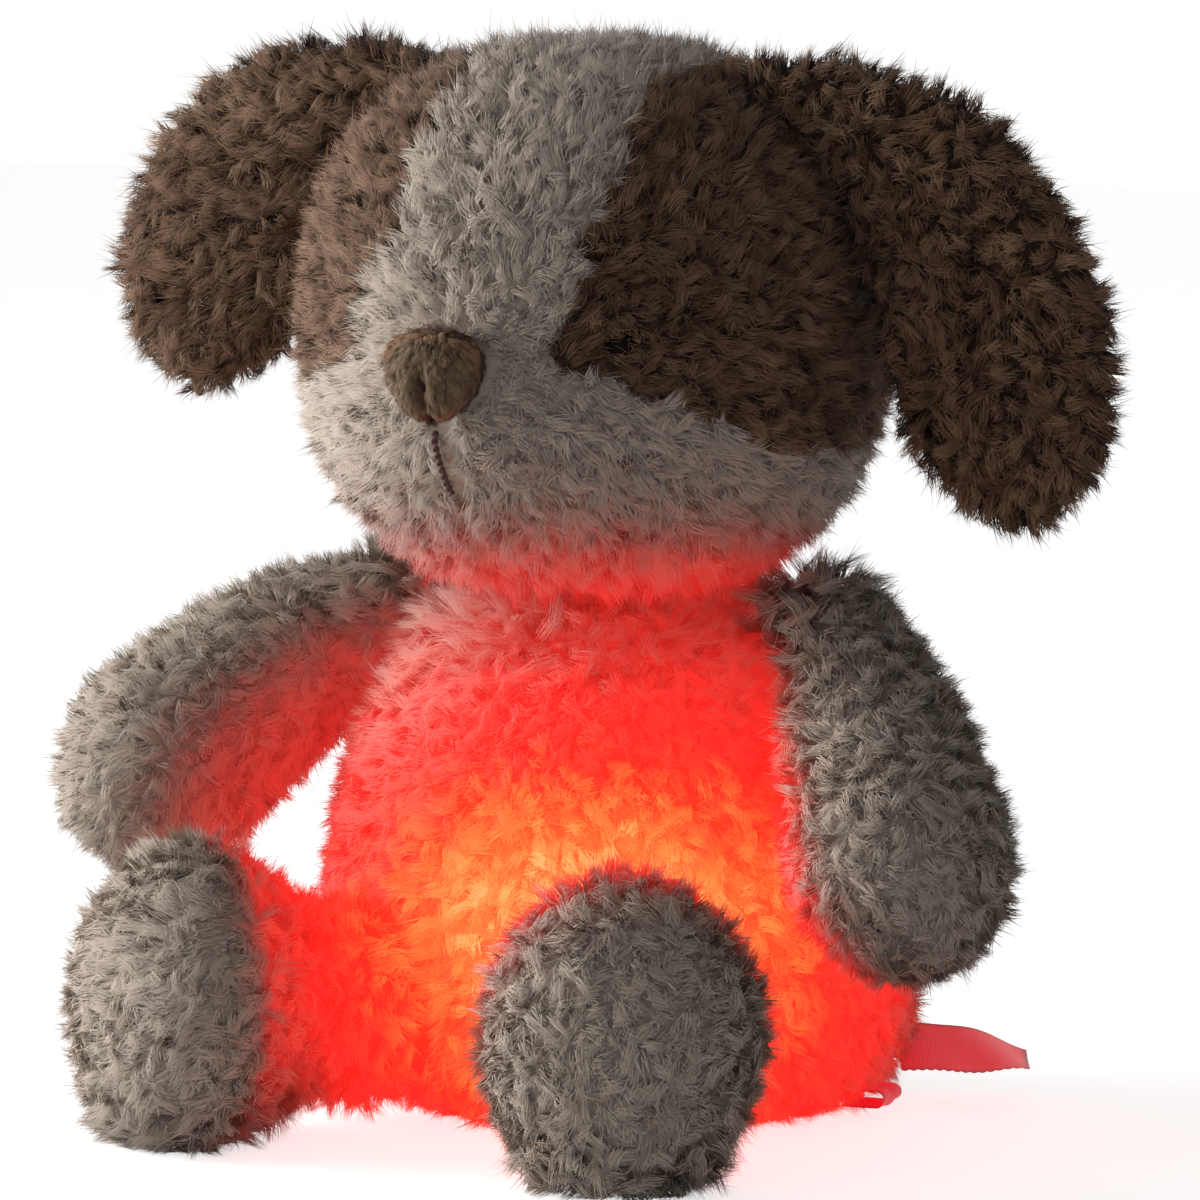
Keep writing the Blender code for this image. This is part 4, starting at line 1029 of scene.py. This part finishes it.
def makeNosePad():
    # a rounded triangle, narrow below, with a groove down its middle
    facts = nosePad
    rows, columns = facts["rows"], facts["columns"]
    places = []
    for row in range(rows):
        angle = -pi / 2 + pi * (row + 0.5) / rows
        level = cos(angle)
        height = sin(angle)
        half = facts["halfWidth"] * (1 - facts["taper"] * (0.5 - height * 0.5)) * level ** 0.8
        for column in range(columns):
            turn = fullTurn * column / columns
            x = half * cos(turn)
            y = facts["halfDepth"] * level * sin(turn)
            z = facts["halfHeight"] * height
            if y < 0:
                groove = exp(-(x / facts["cleftWidth"]) ** 2) * (1 - float(ease((z + 0.001) / 0.005)))
                across = (abs(x) - facts["nostrilOut"]) / facts["nostrilWide"]
                nostril = exp(-across ** 2 - ((z + 0.0012) / facts["nostrilTall"]) ** 2)
                y += facts["cleftDepth"] * groove + facts["nostrilDepth"] * nostril
            places.append((x, y, z))
    pad = makePiece("nose_pad", places, tubeFaces(rows, columns), noseFinish)
    cosine, sine = cos(facts["tilt"]), sin(facts["tilt"])
    turn = np.array(((1, 0, 0), (0, cosine, sine), (0, -sine, cosine)))
    spot = np.array((0.0, noseLow.y + facts["halfDepth"] - facts["backward"], noseSpot[2]))
    movePlaces(pad, placesOf(pad) @ turn + spot)
    setShare(pad.data, "patch", noseTint(placesOf(pad)))
    return pad


noseStyle = {
    "spacing": 0.0010,
    "perArea": 3.4e7,
    "length": 0.0023,
    "rise": 0.55,
    "lay": 0.75,
    "scatter": 0.25,
    "gather": 0.20,
    "curl": 0.0001,
    "width": 0.00013,
    "stray": 0.0004,
    "fray": 0.00012,
}


def noseComb(places):
    # outward from the middle of the pad's upper edge
    way = unit(places - (noseSpot + np.array((0.0, 0.004, 0.0045))))
    way[:, 2] -= 0.35
    return way


def noseTrim(places):
    rel = places - noseSpot
    groove = (np.abs(rel[:, 0]) < 0.0013) & (rel[:, 2] < 0.0005) & (rel[:, 1] < 0)
    share = np.ones(len(places))
    share[groove] = 0.30
    return share


def noseTint(places):
    # 1 at the rim, -1 down the groove, where the velour gets painted shade
    rel = places - noseSpot
    edge = np.hypot(rel[:, 0] / nosePad["halfWidth"], rel[:, 2] / nosePad["halfHeight"])
    groove = ease(1.4 - np.abs(rel[:, 0]) / 0.0011) * falling(rel[:, 2], 0.0012, 0.002)
    return np.clip(rising(edge, 0.76, 0.16) * 0.85 - groove * 2, -1, 1)


beadEye = {"radius": 0.0038, "rise": 0.0031, "sunk": 0.0024, "lowest": 0.5, "sides": 40, "rings": 12}


def makeBead(node):
    rings, sides = beadEye["rings"], beadEye["sides"]
    way = unit(middle(node) - headCentre)
    centre = middle(node) - way * beadEye["sunk"]
    level = unit(np.cross(way, (0.0, 0.0, 1.0)))
    upright = np.cross(level, way)
    places = []
    for ring in range(rings):
        angle = -beadEye["lowest"] + (pi / 2 + beadEye["lowest"]) * ring / rings
        spot = centre + way * (beadEye["rise"] * sin(angle))
        places += around(spot, level, upright, beadEye["radius"] * cos(angle), sides)
    places.append(centre + way * beadEye["rise"])
    faces = gridFaces(rings, sides, True)
    last = (rings - 1) * sides
    for side in range(sides):
        faces.append((last + side, last + (side + 1) % sides, len(places) - 1))
    faces.append(tuple(reversed(range(sides))))
    return makePiece(node + "_bead", places, faces, beadFinish)


mouthThread = {"radius": 0.00046, "plies": 2, "twist": 0.0034, "sides": 8, "rise": 0.0006, "points": 60}


def makePly(name, route, radius, phase, twist, sides, out):
    # one strand that winds round a route
    route = np.asarray(route)
    run = unit(np.gradient(route, axis=0))
    level = unit(np.cross(run, (1.0, 0.12, 0.05)))
    other = np.cross(run, level)
    gone = np.concatenate(((0.0,), np.cumsum(np.linalg.norm(np.diff(route, axis=0), axis=1))))
    places = []
    for index in range(len(route)):
        turn = phase + fullTurn * gone[index] / twist
        centre = route[index] + (level[index] * cos(turn) + other[index] * sin(turn)) * out
        places += around(centre, level[index], other[index], radius, sides)
    return makePiece(name, places, tubeFaces(len(route), sides), threadFinish)


def makeMouth():
    # a two-ply thread that goes into the cloth at both ends
    facts = mouthThread
    route = []
    for index in range(facts["points"]):
        at = index / (facts["points"] - 1)
        z = stitchHigh.z + 0.002 + (stitchLow.z - stitchHigh.z - 0.002) * at
        share = (stitchHigh.z - z) / (stitchHigh.z - stitchLow.z)
        y = stitchLow.y + (stitchHigh.y - stitchLow.y) * max(share, 0.0) ** 1.3
        rise = facts["rise"] * min(1.0, 6 * at, 6 * (1 - at) + 0.2)
        route.append((0.0, y - rise + 0.0004, z))
    plies = []
    for ply in range(facts["plies"]):
        plies.append(makePly(f"ply{ply}", route, facts["radius"], pi * ply, facts["twist"],
                             facts["sides"], facts["radius"] * 0.85))
    return joinPieces("mouth_thread", plies)


nosePiece = makeNosePad()
nosePile = growPile("nose", nosePiece, noseComb, noseTrim, noseTint, wallTree(("mouth_stitch",)), 51,
                    changes=noseStyle, finish=noseFinish)
for piece in nosePile:
    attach(piece, "head")
settle(nosePiece, "head", "nose")
settle(makeMouth(), "head", "mouth_stitch")
for node in ("left_eye", "right_eye"):
    settle(makeBead(node), "head", node)
print("face is ready")


# Labels in the hip seam, both bare

careLabel = {
    "length": 0.028,
    "width": 0.019,
    "sag": 0.0030,
    "tilt": radians(24),
    "twist": 0.75,  # how much of the tilt is gone at the tip
    "scallops": 15,
    "scallopDepth": 0.0006,
    "azimuth": radians(118),
    "ripple": 0.0008,
    "columns": 91,
    "rows": 24,
}
loopLabel = {
    "reach": 0.0080,
    "width": 0.012,
    "radius": 0.0018,
    "azimuth": radians(98),
    "columns": 34,
    "rows": 12,
}


def makeRibbon(name, rows, columns, place, hemWidth):
    # a grid of points in two directions, with its own map for the weave
    places = []
    hems = []
    for row in range(rows):
        for column in range(columns):
            along = column / (columns - 1)
            across = row / (rows - 1)
            places.append(place(along, across))
            edge = min(across, 1 - across, 1 - along if hemWidth else 1.0)
            hems.append(float(ease(1 - edge / 0.07)))
    ribbon = makePiece(name, places, gridFaces(rows, columns, False), satinFinish)
    layer = ribbon.data.uv_layers.new(name="ribbon")
    index = numbers(ribbon.data.loops, "vertex_index", 1, np.int32)
    uv = np.stack(((index % columns) / (columns - 1), (index // columns) / (rows - 1)), 1)
    layer.uv.foreach_set("vector", uv.astype(np.float32).ravel())
    setShare(ribbon.data, "hem", hems)
    return ribbon


def hipWays(azimuth):
    # straight out of the hip, and level along it
    out = np.array((sin(azimuth), -cos(azimuth), 0.0))
    return out, np.array((-out[1], out[0], 0.0))


def makeCareLabel():
    facts = careLabel
    out, hip = hipWays(facts["azimuth"])
    start = middle("care_label") - out * (facts["length"] / 2)
    start[2] = middle("care_label")[2] + facts["sag"] / 2

    def place(along, across):
        tilt = facts["tilt"] * (1 - facts["twist"] * along * along)
        wide = hip * cos(tilt) + np.array((0.0, 0.0, sin(tilt)))
        wave = facts["ripple"] * sin(fullTurn * along * 1.4 + 3 * across) * along
        scallop = facts["scallopDepth"] * abs(sin(pi * facts["scallops"] * along))
        scallop *= max(0.0, 1 - 8 * across)
        spot = start + out * (facts["length"] * along) + wide * (facts["width"] * (across - 0.5) - scallop)
        return spot + np.cross(out, wide) * wave - np.array((0.0, 0.0, facts["sag"] * along * along))
    return makeRibbon("care_ribbon", facts["rows"], facts["columns"], place, True)


def makeLoopLabel():
    facts = loopLabel
    out, wide = hipWays(facts["azimuth"])
    centre = middle("loop_label")
    straight = facts["reach"]
    bow = pi * facts["radius"]
    total = 2 * straight + bow
    start = centre - out * ((straight + facts["radius"]) / 2)

    def place(along, across):
        gone = along * total
        if gone < straight:
            step, rise = gone, facts["radius"]
        elif gone < straight + bow:
            turn = pi / 2 - (gone - straight) / facts["radius"]
            step = straight + facts["radius"] * cos(turn)
            rise = facts["radius"] * sin(turn)
        else:
            step, rise = total - gone, -facts["radius"]
        spot = start + out * step + wide * (facts["width"] * (across - 0.5))
        return spot + np.array((0.0, 0.0, rise + 0.0004 * sin(9 * across)))
    return makeRibbon("loop_ribbon", facts["rows"], facts["columns"], place, False), total


carePiece = makeCareLabel()
loopPiece, loopTotal = makeLoopLabel()
for ribbon, node in ((carePiece, "care_label"), (loopPiece, "loop_label")):
    settle(ribbon, "torso", node)
print("labels are ready")


# Pocket at the back

weltLow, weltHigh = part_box("pocket_welt")
piping = {
    "tube": 0.0019,
    "ribs": 150,  # turns of the tape's weave round the mouth
    "ribDepth": 0.00016,
    "sides": 14,
    "steps": 300,
    "stitches": 62,
    "stitchLength": 0.0022,
    "stitchRadius": 0.00035,
    "stitchRise": 0.0004,
    "stitchIn": 0.0004,
}


def makePiping():
    facts = piping
    centre = np.array((weltLow + weltHigh) / 2)
    circle = (weltHigh.x - weltLow.x) / 2 - facts["tube"]
    angles = fullTurn * np.arange(facts["sides"]) / facts["sides"]
    places = []
    for step in range(facts["steps"]):
        turn = fullTurn * step / facts["steps"]
        out = np.array((cos(turn), 0.0, sin(turn)))
        tube = facts["tube"] + facts["ribDepth"] * np.sin(facts["ribs"] * turn + 2 * angles)
        places += around(centre + out * circle, out, (0.0, 1.0, 0.0), tube, facts["sides"])
    faces = gridFaces(facts["steps"], facts["sides"], True, ring=True)
    welt = makePiece("pocket_piping", places, faces, pipingFinish)
    stitches = []
    half = facts["stitchLength"] / circle / 2
    for number in range(facts["stitches"]):
        turn = fullTurn * number / facts["stitches"]
        route = []
        for index in range(9):
            at = turn - half + 2 * half * index / 8
            rise = facts["tube"] * 0.96 + facts["stitchRise"] * sin(pi * index / 8)
            reach = circle - facts["stitchIn"]
            route.append(centre + np.array((cos(at) * reach, rise, sin(at) * reach)))
        stitches.append(makePly(f"stitch{number}", route, facts["stitchRadius"], 0.0, 1.0, 6, 0.0))
    return welt, joinPieces("pocket_stitches", stitches)


liner = {"wall": 0.0006, "clear": 0.0002, "pleats": 36, "pleatDepth": 0.00018, "sides": 144, "steps": 26}


def makeLiner():
    # a thin gathered cup round the light unit
    places = np.array([v.co for v in nodes["pocket_liner"].data.vertices])
    centre = np.array(((linerLow.x + linerHigh.x) / 2, 0.0, (linerLow.z + linerHigh.z) / 2))
    rel = places - centre
    radius = np.hypot(rel[:, 0], rel[:, 2])
    depths = np.unique(np.round(rel[:, 1], 5))
    profile = [(y, radius[np.abs(rel[:, 1] - y) < 0.00002].max()) for y in depths]
    length, wide = np.array([spot for spot in profile if spot[1] > 0.0005]).T
    stops = length[0] + (length[-1] - length[0]) * np.linspace(0, 1, liner["steps"]) ** 1.4
    turns = fullTurn * np.arange(liner["sides"]) / liner["sides"]
    pleats = liner["pleatDepth"] * np.sin(liner["pleats"] * turns) - liner["clear"]
    rings = []
    for y in stops:
        wall = np.interp(y, length, wide) + pleats
        spot = centre + np.array((0.0, y, 0.0))
        rings += around(spot, (1.0, 0.0, 0.0), (0.0, 0.0, 1.0), wall, liner["sides"])
    faces = gridFaces(liner["steps"], liner["sides"], True)
    faces.append(tuple(range(liner["sides"])))
    cup = makePiece("pocket_cloth", rings, faces, linerFinish)
    run = np.hypot(np.diff(length), np.diff(wide))
    area = pi * wide[0] ** 2 + float((fullTurn * (wide[1:] + wide[:-1]) / 2 * run).sum())
    flat = (fullTurn * float(wide.max()), float(run.sum() + wide[0]), area)
    wall = cup.modifiers.new("wall", "SOLIDIFY")
    wall.thickness = liner["wall"]
    wall.offset = 0.0
    return applied(cup), flat


weltPiece, stitchPiece = makePiping()
linerPiece, linerFlat = makeLiner()
settle(weltPiece, "torso", "pocket_welt")
settle(stitchPiece, "torso")
settle(linerPiece, "torso", "pocket_liner")
print("pocket is ready")


# The light unit keeps its solids and gets its finishes

shellFinish = makeMouldedFinish("shell_plastic", (226, 222, 214), (206, 200, 190), 0.42)
steelFinish = makeMouldedFinish("plated_steel", (190, 190, 188), (150, 150, 150), 0.25, metal=1.0)
unitFinishes = {
    "rear_case": shellFinish,
    "battery_cover": shellFinish,
    "diffuser_dome": makeDomeFinish(),
    "_board": makeMouldedFinish("board_laminate", (34, 92, 58), (22, 66, 42), 0.4, coat=0.3),
    "lamp_lead": makeMouldedFinish("lead_sleeve", (170, 34, 30), (120, 22, 20), 0.45),
    "_key": makeMouldedFinish("key_rubber", (150, 148, 146), (126, 124, 122), 0.6, depth=0.0001),
    "screw": steelFinish,
    "contact": steelFinish,
    "switch": makeMouldedFinish("switch_body", (40, 40, 42), (24, 24, 26), 0.4),
    "lamp_": makeLensFinish(),
    "cell": makeCellFinish(),
}
for name, node in nodes.items():
    found = [finish for part, finish in unitFinishes.items() if part in name]
    if found:
        node.data.materials.clear()
        node.data.materials.append(found[0])
print("light unit is finished")


# Floor, light and camera

stage = {
    "floorSize": 8.0,
    "floorShade": (0.80, 0.80, 0.80, 1),
    "floorLift": 0.74,  # what the camera sees on top of the light that falls on the floor
    "fill": 0.205,
    "keyPower": 51.0,
    "keySize": 1.5,
    "keyPlace": (-1.74, -0.62, 0.44),
    "keyAim": (0.0, 0.0, 0.11),
}
photoView = {
    "azimuth": radians(29),
    "elevation": radians(6),
    "distance": 1.5,
    "aim": (0.0, 0.00275, 0.1127),
    "aimRight": 0.0084,
    "halfHeight": 0.12840,
}


def makeFloor():
    half = stage["floorSize"] / 2
    finish = Finish("floor_paper")
    grain = finish.noise(30.0)
    lift = finish.mix(finish.seen(), (0, 0, 0, 1), (stage["floorLift"],) * 3 + (1,))
    paper = finish.mix(grain * 0.1, stage["floorShade"], (0.76, 0.76, 0.76, 1))
    finish.surface(Base_Color=paper, Roughness=0.9, Emission_Color=lift, Emission_Strength=1.0)
    floor = makePiece("floor", [(-half, -half, 0), (half, -half, 0), (half, half, 0), (-half, half, 0)],
                      [(0, 1, 2, 3)], finish.holder)


def makeWorld():
    # soft light all round, and white where the camera looks past the floor
    world = Finish("studio", bpy.data.worlds.new("studio"))
    scene.world = world.holder
    world.tree.nodes.remove(world.tree.nodes["Background"])
    shades = []
    for strength in (stage["fill"], 1.0):
        shades.append(world.add("ShaderNodeBackground", {}, {"Color": (1, 1, 1, 1), "Strength": strength}))
    both = world.add("ShaderNodeMixShader", {}, {0: world.seen(), 1: shades[0], 2: shades[1]})
    world.connect(world.tree.nodes["World Output"].inputs[0], both)


def makeLamp():
    lamp = bpy.data.lights.new("key", "AREA")
    lamp.energy = stage["keyPower"]
    lamp.shape = "DISK"
    lamp.size = stage["keySize"]
    holder = placed("key", lamp)
    holder.location = stage["keyPlace"]
    way = Vector(stage["keyAim"]) - Vector(stage["keyPlace"])
    holder.rotation_euler = way.to_track_quat("-Z", "Y").to_euler()


def makeCamera():
    turn, tilt = photoView["azimuth"], photoView["elevation"]
    back = Vector((sin(turn) * cos(tilt), -cos(turn) * cos(tilt), sin(tilt)))
    right = Vector((cos(turn), sin(turn), 0.0))
    aim = Vector(photoView["aim"]) + right * photoView["aimRight"]
    lens = bpy.data.cameras.new("photo_view")
    lens.angle = 2 * atan(photoView["halfHeight"] / photoView["distance"])
    lens.clip_end = 20.0
    camera = placed("photo_view", lens)
    camera.location = aim + back * photoView["distance"]
    camera.rotation_euler = (-back).to_track_quat("-Z", "Y").to_euler()
    scene.camera = camera


makeFloor()
makeWorld()
makeLamp()
makeCamera()
scene.view_settings.view_transform = "Standard"
print("stage is set")
